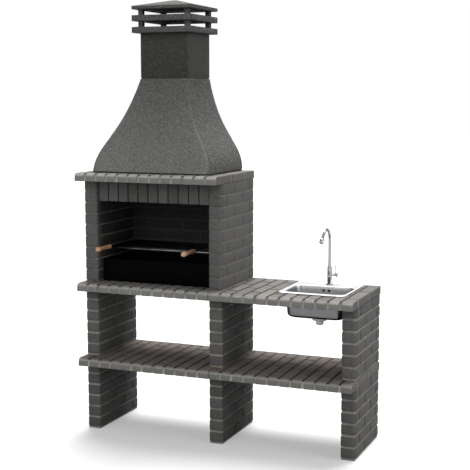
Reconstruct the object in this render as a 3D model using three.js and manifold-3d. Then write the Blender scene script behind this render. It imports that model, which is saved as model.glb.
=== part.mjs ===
// Outdoor masonry barbecue: a brick-faced firebox with a flared hood and flue beside a sink bay.
// Millimetres, +X to the right, -Y to the front, +Z up. The piers stand on z = 0.
import * as THREE from 'three';
import { mergeVertices } from 'three/addons/utils/BufferGeometryUtils.js';
import Module from 'manifold-3d';

const wasm = await Module();
wasm.setup();

// Brickwork
const brickHeight = 54;
const bedHeight = 10;
const bedDepth = 4;
const brickSpacing = 222.5;
const firstJoint = 177;
const perpendWidth = 8;
const perpendDepth = 3;
const crossJointDepth = 2;
const brickCorner = 12;
const seatGap = 0.3;
const overrun = 6;

// Piers, slabs and firebox
const pierThickness = 86;
const pierCourses = 6;
const wallCourses = 9;
const leftBayWidth = 681;
const rightBayWidth = 670;
const masonryDepth = 475;
const slabThickness = 48;
const slabOverhang = 8;
const slabNose = 82;
const mantelNose = 88;
const noseRadius = 16;
const slabHalfBricks = 12;
const mantelBricks = 13;
const backWallThickness = 48;
const lintelHeight = 116;
const lintelDepth = 86;
const lintelSetback = 20;
const lintelBricks = 11;
const tieBarRadius = 6;
const tieBarInset = 45;
const boreClearance = 0.4;
const flueBearingWidth = 30;
const flueMargin = 10;

// Hood, flue and cap
const hoodBedHeight = 6;
const hoodBedInset = 8;
const hoodHeight = 514;
const hoodWall = 30;
const hoodFootHalf = 361;
const hoodNeckHalf = 150;
const hoodNeckSpread = 67;
const hoodFootPull = 159;
const hoodNeckPull = 334;
const hoodFrontOverhang = 27;
const hoodFootLean = 55;
const hoodNeckLean = 140;
const hoodFootCorner = 30;
const hoodNeckCorner = 6;
const flueBedHeight = 4;
const flueBedInset = 2;
const flueSide = 296;
const flueWall = 30;
const flueHeight = 250;
const flueCorner = 6;
const capSide = 368;
const capRingHeight = 33;
const capPost = 28;
const capPostHeight = 32;
const capPostInset = 28;
const roofEave = 19;
const roofRise = 38;
const roofTopSide = 24;

// Cooking grid and ember box
const supportRadius = 4;
const supportLevel = 184;
const supportEmbed = 25;
const supportFront = 121;
const supportRearGap = 35;
const gridRodRadius = 3;
const gridWireRadius = 2;
const gridWirePitch = 19;
const gridLeftInset = 22;
const gridWidth = 529;
const gridRearGap = 20;
const gripLength = 153;
const gripRadius = 15;
const gripSetback = 14;
const gripEndWall = 12;
const boxClearance = 2;
const boxFront = 60;
const boxHeight = 128;
const boxSheet = 3;
const ribHeight = 12;
const ribDepth = 4;
const ribMargin = 30;
const ribLevels = [52, 95];
const grateLevel = 46;
const grateBar = 8;
const gratePitch = 48;
const grateMargin = 14;
const grateFoot = 12;

// Sink
const sinkFront = 50;
const sinkBackMargin = 40;
const sinkSideLedge = 19;
const tapLedge = 103;
const sinkCorner = 22;
const sinkSheet = 1.5;
const sealThickness = 1.5;
const sealWidth = 7;
const rimRaise = 3;
const rimSlope = 3;
const rimBand = 10;
const cutoutMargin = 10;
const cutoutCorner = 30;
const bowlWidth = 337;
const bowlSideClearance = 16.5;
const bowlFrontInset = 45;
const bowlCorner = 45;
const bowlHeight = 144;
const bowlTaper = 8;
const bowlFloorRadius = 22;
const bowlLip = 5;
const drainRadius = 30;
const drainSink = 3;
const overflowRadius = 7.5;
const overflowSpacing = 33;
const overflowLevel = 26;
const tapHoleRadius = 11;

// Waste and overflow
const seatFlangeRadius = 41;
const seatThickness = 2;
const seatCupRadius = 28.5;
const seatCupDepth = 16;
const basketRadius = 27.6;
const basketSheet = 1.6;
const basketHoleRadius = 3;
const basketHoles = 6;
const basketHoleCircle = 17;
const basketFlare = 3;
const knobRadius = 4;
const knobHeight = 14;
const gasketThickness = 2;
const wasteRadius = 42;
const wasteWall = 3;
const wasteHeight = 18;
const tailRadius = 16;
const tailLength = 26;
const tailNutRadius = 21.5;
const tailNutHeight = 22;
const spigotRadius = 7.2;
const spigotLength = 16;
const overflowBoxWidth = 64;
const overflowBoxDepth = 18;
const overflowBoxHeight = 34;
const overflowPipeRadius = 5.5;
const overflowBend = 24;

// Tap
const tapSetback = 50;
const tapBaseRadius = 20;
const tapBaseHeight = 5;
const tapRadius = 13;
const tapHeight = 98;
const shankRadius = 9;
const shankLength = 62;
const washerRadius = 17;
const washerHeight = 3;
const nutRadius = 15;
const nutHeight = 9;
const inletRadius = 6;
const inletLength = 22;
const leverLevel = 57;
const bossRadius = 8;
const bossReach = 19;
const spindleRadius = 4;
const spindleReach = 9;
const hubRadius = 7;
const hubLength = 20;
const discRadius = 15;
const discThickness = 5;
const pinRadius = 2.2;
const pinLength = 46;
const pinHeadShare = 1.5;
const spoutRadius = 8;
const spoutSocket = 18;
const spoutRise = 169;
const spoutBend = 66;
const spoutArcShare = 134 / 180;
const spoutTip = 40;
const collarRadius = 11.5;
const collarHeight = 8;
const aeratorRadius = 12.5;
const aeratorLength = 22;
const aeratorBore = 9.5;
const aeratorRecess = 4;

// Facet counts
const cornerSteps = 2;
const bendSteps = 9;
const bowlSteps = 4;
const spoutSteps = 26;
const hoodSteps = 10;
const roundSides = 16;
const pipeSides = 10;
const rodSides = 6;

// Places that follow from the dimensions
const course = brickHeight + bedHeight;
const pierHeight = pierCourses * course;
const wallHeight = wallCourses * course;
const middlePierX = pierThickness + leftBayWidth;
const rightPierX = middlePierX + pierThickness + rightBayWidth;
const masonryWidth = rightPierX + pierThickness;
const fireboxWidth = middlePierX + pierThickness;
const shelfLevel = pierHeight;
const shelfTop = shelfLevel + slabThickness;
const worktopLevel = shelfTop + pierHeight;
const worktopTop = worktopLevel + slabThickness;
const mantelLevel = worktopTop + wallHeight;
const mantelTop = mantelLevel + slabThickness;
const backWallFront = masonryDepth - backWallThickness;
const slabPitch = (masonryWidth + slabOverhang) / (2 * slabHalfBricks);
const slabSeam = slabHalfBricks * slabPitch - slabOverhang;
const hoodCentre = fireboxWidth / 2;
const hoodLevel = mantelTop + hoodBedHeight;
const hoodTop = hoodLevel + hoodHeight;
const flueLevel = hoodTop + flueBedHeight;
const flueTop = flueLevel + flueHeight;
const flueFront = masonryDepth - flueSide;
const capCentreY = masonryDepth - flueSide / 2;
const supportZ = worktopTop + supportLevel;
const supportRear = backWallFront - supportRearGap;
const gridDepth = backWallFront - gridRearGap - supportFront;
const gridZ = supportZ + supportRadius + seatGap + gridRodRadius;
const rimUnderside = worktopTop + sealThickness + 2 * seatGap;
const rimTop = rimUnderside + sinkSheet;
const bowlFloor = rimTop - bowlHeight;
const sinkCentre = rightPierX - bowlSideClearance - bowlWidth / 2;
const sinkWidth = bowlWidth + 2 * sinkSideLedge;
const sinkDepth = masonryDepth - sinkFront - sinkBackMargin;
const bowlDepth = sinkDepth - bowlFrontInset - tapLedge;
const bowlCentreY = sinkFront + bowlFrontInset + bowlDepth / 2;
const tapY = sinkFront + sinkDepth - tapSetback;

const barbecue = new THREE.Group();
barbecue.position.set(
  -(masonryWidth - slabOverhang) / 2,
  -(capCentreY + capSide / 2 - mantelNose) / 2,
  0,
);

// Materials
function finish(color, roughness, metalness) {
  return new THREE.MeshStandardMaterial({ color, roughness, metalness });
}
const brick = finish(0x4d4d4c, 0.9, 0);
const hoodConcrete = finish(0x5b5b58, 0.95, 0);
const flueConcrete = finish(0x3e3e3c, 0.95, 0);
const mortar = finish(0x8c8c80, 0.95, 0);
const blackSteel = finish(0x141414, 0.6, 0.6);
const chromedSteel = finish(0xd6d6d6, 0.25, 1);
const sinkSteel = finish(0xc4c6c8, 0.3, 1);
const chrome = finish(0xdadcde, 0.12, 1);
const wood = finish(0xc4803f, 0.5, 0);
const whitePlastic = finish(0xd4d4ce, 0.45, 0);
const rubber = finish(0x1c1c1c, 0.8, 0);
const brass = finish(0xb28d4a, 0.35, 1);

function place(name, geometry, material, parent = barbecue) {
  const mesh = new THREE.Mesh(geometry, material);
  mesh.name = name;
  parent.add(mesh);
  return mesh;
}

// Joining and cutting
function toSolid(geometry) {
  const bare = geometry.clone();
  bare.deleteAttribute('normal');
  bare.deleteAttribute('uv');
  const merged = mergeVertices(bare);
  return new wasm.Manifold(new wasm.Mesh({
    numProp: 3,
    vertProperties: new Float32Array(merged.attributes.position.array),
    triVerts: new Uint32Array(merged.index.array),
  }));
}

function toGeometry(solid) {
  const mesh = solid.getMesh();
  const geometry = new THREE.BufferGeometry();
  geometry.setAttribute('position', new THREE.BufferAttribute(mesh.vertProperties, 3));
  geometry.setIndex(new THREE.BufferAttribute(mesh.triVerts, 1));
  return geometry;
}

function join(geometries) {
  return geometries.map(toSolid).reduce((whole, piece) => whole.add(piece));
}

function cut(solid, geometries) {
  return geometries.map(toSolid).reduce((whole, piece) => whole.subtract(piece), solid);
}

// A box between two opposite corners.
function block(low, high) {
  const size = high.map((value, axis) => value - low[axis]);
  const geometry = new THREE.BoxGeometry(...size);
  return geometry.translate(...low.map((value, axis) => value + size[axis] / 2));
}

// Loft through rings of equal point count. Rings run anticlockwise about the way they advance.
// A closed loft joins its last ring to the first, an open one has flat ends.
function loft(rings, closed = false) {
  const count = rings[0].length;
  const positions = rings.flat().flatMap((point) => [point.x, point.y, point.z]);
  const index = [];
  const bands = closed ? rings.length : rings.length - 1;
  for (let band = 0; band < bands; band += 1) {
    const here = band * count;
    const next = ((band + 1) % rings.length) * count;
    for (let j = 0; j < count; j += 1) {
      const k = (j + 1) % count;
      index.push(here + j, here + k, next + k, here + j, next + k, next + j);
    }
  }
  if (!closed) {
    const last = (rings.length - 1) * count;
    for (let j = 1; j < count - 1; j += 1) {
      index.push(0, j + 1, j, last, last + j, last + j + 1);
    }
  }
  const geometry = new THREE.BufferGeometry();
  geometry.setAttribute('position', new THREE.Float32BufferAttribute(positions, 3));
  geometry.setIndex(index);
  return geometry;
}

// Rounded rectangle at one level, anticlockwise from the front left corner.
// Radii are those of the front left, front right, back right and back left corners.
function roundedRing(area, radii, z, steps = cornerSteps) {
  const [x0, x1, y0, y1] = area;
  const corners = [[x0, y0, 1, 1], [x1, y0, -1, 1], [x1, y1, -1, -1], [x0, y1, 1, -1]];
  return corners.flatMap(([x, y, inwardX, inwardY], corner) => {
    const radius = radii[corner];
    const start = Math.PI + corner * Math.PI / 2;
    return Array.from({ length: steps + 1 }, (_, step) => {
      const angle = start + step * Math.PI / (2 * steps);
      return new THREE.Vector3(
        x + inwardX * radius + radius * Math.cos(angle),
        y + inwardY * radius + radius * Math.sin(angle),
        z,
      );
    });
  });
}

function evenRing(area, radius, z, steps) {
  return roundedRing(area, [radius, radius, radius, radius], z, steps);
}

function shrink([x0, x1, y0, y1], by) {
  return [x0 + by, x1 - by, y0 + by, y1 - by];
}

// Turned solid about a vertical axis. The profile holds [radius, height] pairs.
function turned(profile, sides = roundSides) {
  const points = profile.map(([radius, height]) => new THREE.Vector2(radius, height));
  return new THREE.LatheGeometry(points, sides).rotateX(Math.PI / 2);
}

function disc(radius, z0, z1, sides = roundSides) {
  return turned([[0, z0], [radius, z0], [radius, z1], [0, z1]], sides);
}

function washerRing(inner, outer, z0, z1, sides = roundSides) {
  return turned([[inner, z0], [outer, z0], [outer, z1], [inner, z1], [inner, z0]], sides);
}

// Straight round rod between two points.
function rod(from, to, radius, sides = rodSides) {
  const start = new THREE.Vector3(...from);
  const run = new THREE.Vector3(...to).sub(start);
  const geometry = new THREE.CylinderGeometry(radius, radius, run.length(), sides);
  const turn = new THREE.Quaternion().setFromUnitVectors(
    new THREE.Vector3(0, 1, 0),
    run.clone().normalize(),
  );
  return geometry.applyQuaternion(turn).translate(...start.addScaledVector(run, 1 / 2).toArray());
}

// Outline of one course with its upright joints as shallow notches.
// sideJoints are places along Y on both long faces, faceJoints along X on front and back.
function courseShape([x0, x1, y0, y1], corner, sideJoints, faceJoints) {
  const half = perpendWidth / 2;
  const shape = new THREE.Shape();
  shape.moveTo(x0 + corner, y0);
  for (const x of faceJoints) {
    shape.lineTo(x - half, y0);
    shape.lineTo(x, y0 + perpendDepth);
    shape.lineTo(x + half, y0);
  }
  shape.lineTo(x1 - corner, y0);
  shape.lineTo(x1, y0 + corner);
  for (const y of sideJoints) {
    shape.lineTo(x1, y - half);
    shape.lineTo(x1 - perpendDepth, y);
    shape.lineTo(x1, y + half);
  }
  shape.lineTo(x1, y1 - corner);
  shape.lineTo(x1 - corner, y1);
  for (const x of faceJoints.toReversed()) {
    shape.lineTo(x + half, y1);
    shape.lineTo(x, y1 - perpendDepth);
    shape.lineTo(x - half, y1);
  }
  shape.lineTo(x0 + corner, y1);
  shape.lineTo(x0, y1 - corner);
  for (const y of sideJoints.toReversed()) {
    shape.lineTo(x0, y + half);
    shape.lineTo(x0 + perpendDepth, y);
    shape.lineTo(x0, y - half);
  }
  shape.lineTo(x0, y0 + corner);
  return shape;
}

// Brick-faced panel in running bond: a mortar core with one projecting layer for each course.
function brickPanel(area, level, courses, jointsOf, corner, lift = seatGap) {
  const [x0, x1, y0, y1] = shrink(area, bedDepth);
  const top = level + courses * course;
  const layers = [block([x0, y0, level + lift], [x1, y1, top])];
  for (let row = 0; row < courses; row += 1) {
    const [sideJoints, faceJoints] = jointsOf(row);
    const shape = courseShape(area, corner, sideJoints, faceJoints);
    const layer = new THREE.ExtrudeGeometry(shape, { depth: brickHeight, bevelEnabled: false });
    layers.push(layer.translate(0, 0, level + row * course + bedHeight));
  }
  return join(layers);
}

// Joints of a pier: a brick apart up to the rear corner, mirrored on every other course.
function pierJoints(row) {
  const joints = [];
  const end = masonryDepth - brickCorner - perpendWidth;
  for (let y = firstJoint; y < end; y += brickSpacing) {
    joints.push(y);
  }
  const mirrored = joints.map((y) => masonryDepth - y).toReversed();
  return [row % 2 === 0 ? joints : mirrored, []];
}

function pier(name, x, level, courses, lift) {
  const area = [x, x + pierThickness, 0, masonryDepth];
  const solid = brickPanel(area, level, courses, pierJoints, brickCorner, lift);
  return place(name, toGeometry(solid), brick);
}

// Groove across one row of a slab. Its sides slope on as far above the top as below it.
function crossJoint(x0, x1, y, top) {
  const section = (x) => [
    new THREE.Vector3(x, y, top - crossJointDepth),
    new THREE.Vector3(x, y + perpendWidth, top + crossJointDepth),
    new THREE.Vector3(x, y - perpendWidth, top + crossJointDepth),
  ];
  return loft([section(x0), section(x1)]);
}

// Precast slab faced with bricks laid front to back: a nosed section carried along X,
// drawn in at each joint over the top and down the front. The joints across its rows
// are half a brick apart on neighbouring rows.
function brickSlab(x0, x1, level, nose, count) {
  const z0 = level + seatGap;
  const z1 = level + slabThickness;
  const section = (x, inset) => {
    const front = -nose + inset;
    const top = z1 - inset;
    const arc = Array.from({ length: cornerSteps + 1 }, (_, step) => {
      const angle = Math.PI / 2 + step * Math.PI / (2 * cornerSteps);
      return [
        front + noseRadius + noseRadius * Math.cos(angle),
        top - noseRadius + noseRadius * Math.sin(angle),
      ];
    });
    const outline = [[front, z0], [masonryDepth, z0], [masonryDepth, top], ...arc];
    return outline.map(([y, z]) => new THREE.Vector3(x, y, z));
  };
  const pitch = (x1 - x0) / count;
  const half = perpendWidth / 2;
  const rings = [section(x0, perpendDepth)];
  for (let joint = 1; joint <= count; joint += 1) {
    const x = x0 + joint * pitch;
    rings.push(section(x - pitch + half, 0), section(x - half, 0), section(x, perpendDepth));
  }
  const joints = [];
  for (let row = 0; row < count; row += 1) {
    const start = x0 + row * pitch;
    const first = row % 2 === 0 ? brickSpacing : brickSpacing / 2;
    for (let y = first - nose; y < masonryDepth - perpendWidth; y += brickSpacing) {
      joints.push(crossJoint(start, start + pitch, y, z1));
    }
  }
  return cut(toSolid(loft(rings)), joints);
}

// Lower piers, shelf, upper piers
const pierPlaces = { left: 0, middle: middlePierX, right: rightPierX };
for (const [side, x] of Object.entries(pierPlaces)) {
  pier(`${side}_pier_lower`, x, 0, pierCourses, 0);
  pier(`${side}_pier_upper`, x, shelfTop, pierCourses, seatGap);
}
const seamGap = seatGap / 2;
const leftSlabSpan = [-slabOverhang, slabSeam - seamGap];
const rightSlabSpan = [slabSeam + seamGap, masonryWidth];
const halfSlab = (span, level) => brickSlab(...span, level, slabNose, slabHalfBricks);
place('shelf_slab_left', toGeometry(halfSlab(leftSlabSpan, shelfLevel)), brick);
place('shelf_slab_right', toGeometry(halfSlab(rightSlabSpan, shelfLevel)), brick);
place('hearth_slab', toGeometry(halfSlab(leftSlabSpan, worktopLevel)), brick);

// Sink worktop: the right half with a cut-out for the bowl and the tap ledge
const sinkArea = [
  sinkCentre - sinkWidth / 2,
  sinkCentre + sinkWidth / 2,
  sinkFront,
  sinkFront + sinkDepth,
];
const cutoutArea = shrink(sinkArea, cutoutMargin);
const worktop = halfSlab(rightSlabSpan, worktopLevel);
const cutout = loft([
  evenRing(cutoutArea, cutoutCorner, worktopLevel - overrun),
  evenRing(cutoutArea, cutoutCorner, worktopTop + overrun),
]);
place('sink_worktop', toGeometry(cut(worktop, [cutout])), brick);

// Firebox walls with bores for the grid supports and the lintel's tie bar
const lintelBack = lintelSetback + lintelDepth;
const lintelLevel = mantelLevel - lintelHeight;
const tieBarY = lintelSetback + lintelDepth / 2;
const tieBarZ = lintelLevel + lintelHeight / 2;
const supportBore = supportRadius + boreClearance;
const tieBarBore = tieBarRadius + boreClearance;

function wallBores(inner, outward) {
  const end = inner + outward * (supportEmbed + boreClearance);
  const tieEnd = inner + outward * (tieBarInset + boreClearance);
  const start = inner - outward * overrun;
  return [
    rod([start, supportFront, supportZ], [end, supportFront, supportZ], supportBore, pipeSides),
    rod([start, supportRear, supportZ], [end, supportRear, supportZ], supportBore, pipeSides),
    rod([start, tieBarY, tieBarZ], [tieEnd, tieBarY, tieBarZ], tieBarBore, pipeSides),
  ];
}

function fireboxWall(name, x, inner, outward) {
  const area = [x, x + pierThickness, 0, masonryDepth];
  const panel = brickPanel(area, worktopTop, wallCourses, pierJoints, brickCorner);
  place(name, toGeometry(cut(panel, wallBores(inner, outward))), brick);
}
fireboxWall('firebox_left_wall', 0, pierThickness, -1);
fireboxWall('firebox_right_wall', middlePierX, middlePierX, 1);

// Back wall between the side walls, its bond shifted by half a brick on every other course
function backWallJoints(row) {
  const start = pierThickness + (row % 2 === 0 ? brickSpacing / 2 : brickSpacing);
  const joints = [];
  for (let x = start; x < middlePierX - perpendWidth; x += brickSpacing) {
    joints.push(x);
  }
  return [[], joints];
}
const backWallArea = [
  pierThickness + seatGap,
  middlePierX - seatGap,
  backWallFront,
  masonryDepth,
];
const backWall = brickPanel(backWallArea, worktopTop, wallCourses, backWallJoints, bedDepth / 2);
place('firebox_back_wall', toGeometry(backWall), brick);

// Lintel of upright bricks, carried by a steel bar that runs into both walls
function lintelBody() {
  const x0 = pierThickness + seatGap;
  const x1 = middlePierX - seatGap;
  const section = (x, inset) => [
    new THREE.Vector3(x, lintelSetback + inset, lintelLevel + inset),
    new THREE.Vector3(x, lintelBack - inset, lintelLevel + inset),
    new THREE.Vector3(x, lintelBack - inset, mantelLevel),
    new THREE.Vector3(x, lintelSetback + inset, mantelLevel),
  ];
  const pitch = (x1 - x0) / lintelBricks;
  const half = perpendWidth / 2;
  const rings = [section(x0, perpendDepth)];
  for (let joint = 1; joint <= lintelBricks; joint += 1) {
    const x = x0 + joint * pitch;
    rings.push(section(x - pitch + half, 0), section(x - half, 0), section(x, perpendDepth));
  }
  return loft(rings);
}
const tieBarStart = pierThickness - tieBarInset;
const tieBarEnd = middlePierX + tieBarInset;
const lintelBore = rod(
  [pierThickness - overrun, tieBarY, tieBarZ],
  [middlePierX + overrun, tieBarY, tieBarZ],
  tieBarBore,
  pipeSides,
);
place('lintel', toGeometry(cut(toSolid(lintelBody()), [lintelBore])), brick);
const tieBar = rod([tieBarStart, tieBarY, tieBarZ], [tieBarEnd, tieBarY, tieBarZ], tieBarRadius);
place('lintel_tie_bar', tieBar, blackSteel);

// Mantel slab with the flue opening
const flueArea = [
  pierThickness + flueBearingWidth,
  middlePierX - flueBearingWidth,
  lintelBack + flueMargin,
  backWallFront - flueMargin,
];
const mantel = brickSlab(-slabOverhang, fireboxWidth, mantelLevel, mantelNose, mantelBricks);
const flueOpening = block(
  [flueArea[0], flueArea[2], mantelLevel - overrun],
  [flueArea[1], flueArea[3], mantelTop + overrun],
);
place('mantel_slab', toGeometry(cut(mantel, [flueOpening])), brick);

// Flared hood: its half width and its front follow cubic curves that share their heights
function hoodRings(inset, count) {
  const front = -hoodFrontOverhang;
  const heights = [0, hoodFootPull, hoodHeight - hoodNeckPull, hoodHeight];
  const halves = [hoodFootHalf, hoodFootHalf, hoodNeckHalf + hoodNeckSpread, hoodNeckHalf];
  const fronts = [front, front + hoodFootLean, flueFront - hoodNeckLean, flueFront];
  const side = new THREE.CubicBezierCurve3(
    ...heights.map((height, i) => new THREE.Vector3(halves[i], fronts[i], height)),
  );
  return Array.from({ length: count + 1 }, (_, step) => {
    const share = step / count;
    const { x: half, y: face, z: height } = side.getPoint(share);
    const corner = THREE.MathUtils.lerp(hoodFootCorner, hoodNeckCorner, share);
    const area = [hoodCentre - half, hoodCentre + half, face, masonryDepth];
    const radii = [corner, corner, hoodNeckCorner, hoodNeckCorner];
    return roundedRing(shrink(area, inset), radii, hoodLevel + seatGap + height);
  });
}

function shell(outer, inner) {
  return loft([...outer, ...inner.toReversed()], true);
}
const hoodOuter = hoodRings(0, hoodSteps);
const hoodInner = hoodRings(hoodWall, hoodSteps);
place('hood', shell(hoodOuter, hoodInner), hoodConcrete);

// Mortar beds under the hood and under the flue
function bedFrame(outer, inner, z0, z1) {
  const ring = (area, z) => evenRing(area, hoodNeckCorner, z, 1);
  return shell([ring(outer, z0), ring(outer, z1)], [ring(inner, z0), ring(inner, z1)]);
}
const hoodFootArea = [
  hoodCentre - hoodFootHalf,
  hoodCentre + hoodFootHalf,
  -hoodFrontOverhang,
  masonryDepth,
];
const hoodBed = bedFrame(
  shrink(hoodFootArea, hoodBedInset),
  shrink(hoodFootArea, hoodWall),
  mantelTop + seatGap,
  hoodLevel,
);
place('hood_mortar_bed', hoodBed, mortar);
const flueAreaOuter = [
  hoodCentre - flueSide / 2,
  hoodCentre + flueSide / 2,
  flueFront,
  masonryDepth,
];
const flueBed = bedFrame(
  shrink(flueAreaOuter, flueBedInset),
  shrink(flueAreaOuter, flueWall),
  hoodTop + 2 * seatGap,
  flueLevel,
);
place('flue_mortar_bed', flueBed, mortar);

// Square flue
function squareTube(outer, inner, corner, z0, z1) {
  const outside = [evenRing(outer, corner, z0, 1), evenRing(outer, corner, z1, 1)];
  const inside = [evenRing(inner, corner, z0, 1), evenRing(inner, corner, z1, 1)];
  return shell(outside, inside);
}
const flueInner = shrink(flueAreaOuter, flueWall);
const flue = squareTube(flueAreaOuter, flueInner, flueCorner, flueLevel + seatGap, flueTop);
place('chimney_flue', flue, flueConcrete);

// Cap: an open ring on the flue, a second ring on four feet, a pyramid roof on four feet
const capArea = [
  hoodCentre - capSide / 2,
  hoodCentre + capSide / 2,
  capCentreY - capSide / 2,
  capCentreY + capSide / 2,
];
const capRing = (z) => squareTube(capArea, flueInner, flueCorner / 2, z + seatGap, z + capRingHeight);
place('cap_base_ring', capRing(flueTop), hoodConcrete);

function capFeet(z) {
  const [x0, x1, y0, y1] = shrink(capArea, capPostInset);
  const top = z + capPostHeight + overrun;
  const corners = [[x0, y0], [x1 - capPost, y0], [x0, y1 - capPost], [x1 - capPost, y1 - capPost]];
  return corners.map(([x, y]) => block([x, y, z + seatGap], [x + capPost, y + capPost, top]));
}
const middleFeetLevel = flueTop + capRingHeight;
const middleRingLevel = middleFeetLevel + capPostHeight;
const middleRing = join([capRing(middleRingLevel), ...capFeet(middleFeetLevel)]);
place('cap_middle_ring', toGeometry(middleRing), hoodConcrete);
const roofFeetLevel = middleRingLevel + capRingHeight;
const roofLevel = roofFeetLevel + capPostHeight;
const roofTopArea = shrink(capArea, (capSide - roofTopSide) / 2);
const roofPlate = loft([
  evenRing(capArea, flueCorner / 2, roofLevel, 1),
  evenRing(capArea, flueCorner / 2, roofLevel + roofEave, 1),
  evenRing(roofTopArea, flueCorner / 2, roofLevel + roofEave + roofRise, 1),
]);
place('cap_roof', toGeometry(join([roofPlate, ...capFeet(roofFeetLevel)])), hoodConcrete);

// Grid supports: two rods set in the walls
const supportStart = pierThickness - supportEmbed;
const supportEnd = middlePierX + supportEmbed;
const supports = { grid_support_front: supportFront, grid_support_rear: supportRear };
for (const [name, y] of Object.entries(supports)) {
  const bar = rod([supportStart, y, supportZ], [supportEnd, y, supportZ], supportRadius, pipeSides);
  place(name, bar, chromedSteel);
}

// Cooking grid: a rod frame, wires from front to back and a stem for each wooden handle
const gridLeft = pierThickness + gridLeftInset;
const gridRight = gridLeft + gridWidth;
const gridFront = supportFront;
const gridRear = gridFront + gridDepth;
const gripFront = gridFront - gripSetback - gripLength;

function cookingGrid() {
  const rails = [
    rod([gridLeft, gridFront, gridZ], [gridRight, gridFront, gridZ], gridRodRadius),
    rod([gridLeft, gridRear, gridZ], [gridRight, gridRear, gridZ], gridRodRadius),
  ];
  for (const x of [gridLeft, gridRight]) {
    const stemEnd = gripFront + gripEndWall + boreClearance;
    rails.push(rod([x, stemEnd, gridZ], [x, gridRear + gridRodRadius, gridZ], gridRodRadius));
  }
  const spaces = Math.round(gridWidth / gridWirePitch);
  for (let i = 1; i < spaces; i += 1) {
    const x = gridLeft + i * gridWidth / spaces;
    const z = gridZ + gridRodRadius - gridWireRadius / 2;
    rails.push(rod([x, gridFront, z], [x, gridRear, z], gridWireRadius, rodSides - 2));
  }
  return join(rails);
}
place('cooking_grid', toGeometry(cookingGrid()), chromedSteel);

// Turned handle about Z from its front end up, with a blind bore for the stem from the back
const gripShares = [
  [0, 0], [0.62, 0], [0.9, 0.04], [1, 0.1], [0.96, 0.18], [0.72, 0.34],
  [0.7, 0.55], [0.82, 0.72], [0.92, 0.86], [0.84, 0.96], [0.6, 1],
];
function grip(name, x) {
  const bore = gridRodRadius + boreClearance;
  const outline = gripShares.map(([radius, along]) => [radius * gripRadius, along * gripLength]);
  const profile = [...outline, [bore, gripLength], [bore, gripEndWall], [0, gripEndWall]];
  const geometry = turned(profile, pipeSides).rotateX(-Math.PI / 2);
  place(name, geometry, wood).position.set(x, gripFront, gridZ);
}
grip('grid_handle_left', gridLeft);
grip('grid_handle_right', gridRight);

// Ember box: an open steel box with two pressed ribs across its front
const boxArea = [
  pierThickness + boxClearance,
  middlePierX - boxClearance,
  boxFront,
  backWallFront - boxClearance,
];
const boxLevel = worktopTop + seatGap;
const boxBody = block(
  [boxArea[0], boxArea[2], boxLevel],
  [boxArea[1], boxArea[3], worktopTop + boxHeight],
);
const boxInner = shrink(boxArea, boxSheet);
const boxHollow = block(
  [boxInner[0], boxInner[2], boxLevel + boxSheet],
  [boxInner[1], boxInner[3], worktopTop + boxHeight + overrun],
);
function pressedRib(level) {
  const half = ribHeight / 2;
  const section = (x, share) => [
    new THREE.Vector3(x, boxFront + boxSheet / 2, worktopTop + level - half * share),
    new THREE.Vector3(x, boxFront + boxSheet / 2, worktopTop + level + half * share),
    new THREE.Vector3(x, boxFront - ribDepth * share, worktopTop + level + half * share / 2),
    new THREE.Vector3(x, boxFront - ribDepth * share, worktopTop + level - half * share / 2),
  ];
  return loft([section(boxInner[0] + ribMargin, 1), section(boxInner[1] - ribMargin, 1)]);
}
const boxShell = cut(toSolid(boxBody), [boxHollow]);
const emberBox = ribLevels.map(pressedRib).map(toSolid).reduce((a, b) => a.add(b), boxShell);
place('ember_box', toGeometry(emberBox), blackSteel);

// Charcoal grate: bars from front to back on two cross bars with four feet
function charcoalGrate() {
  const [x0, x1, y0, y1] = shrink(boxInner, grateMargin);
  const z0 = boxLevel + boxSheet + grateLevel;
  const floor = boxLevel + boxSheet + seatGap;
  const spaces = Math.round((x1 - x0 - grateBar) / gratePitch);
  const bars = Array.from({ length: spaces + 1 }, (_, i) => {
    const x = x0 + i * (x1 - x0 - grateBar) / spaces;
    return block([x, y0, z0], [x + grateBar, y1, z0 + grateBar]);
  });
  for (const y of [y0 + grateFoot, y1 - 2 * grateFoot]) {
    bars.push(block([x0, y, z0 - grateBar / 2], [x1, y + grateFoot, z0 + grateBar / 2]));
    for (const x of [x0, x1 - grateFoot]) {
      bars.push(block([x, y, floor], [x + grateFoot, y + grateFoot, z0]));
    }
  }
  return join(bars);
}
place('charcoal_grate', toGeometry(charcoalGrate()), blackSteel);

// Sealant bead under the sink's rim
const sealLevel = worktopTop + seatGap;
const sealOuter = shrink(sinkArea, bowlLip / 2);
const seal = shell(
  [evenRing(sealOuter, sinkCorner, sealLevel), evenRing(sealOuter, sinkCorner, sealLevel + sealThickness)],
  [
    evenRing(shrink(sealOuter, sealWidth), sinkCorner, sealLevel),
    evenRing(shrink(sealOuter, sealWidth), sinkCorner, sealLevel + sealThickness),
  ],
);
place('sink_sealant', seal, rubber);

// Pressed sink: raised rim, bowl with drawn walls, round floor and a sunk drain, one sheet thick
const bowlArea = [
  sinkCentre - bowlWidth / 2,
  sinkCentre + bowlWidth / 2,
  bowlCentreY - bowlDepth / 2,
  bowlCentreY + bowlDepth / 2,
];
function circleRing(radius, z) {
  const area = [
    sinkCentre - radius,
    sinkCentre + radius,
    bowlCentreY - radius,
    bowlCentreY + radius,
  ];
  return evenRing(area, radius, z, bowlSteps);
}
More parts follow.
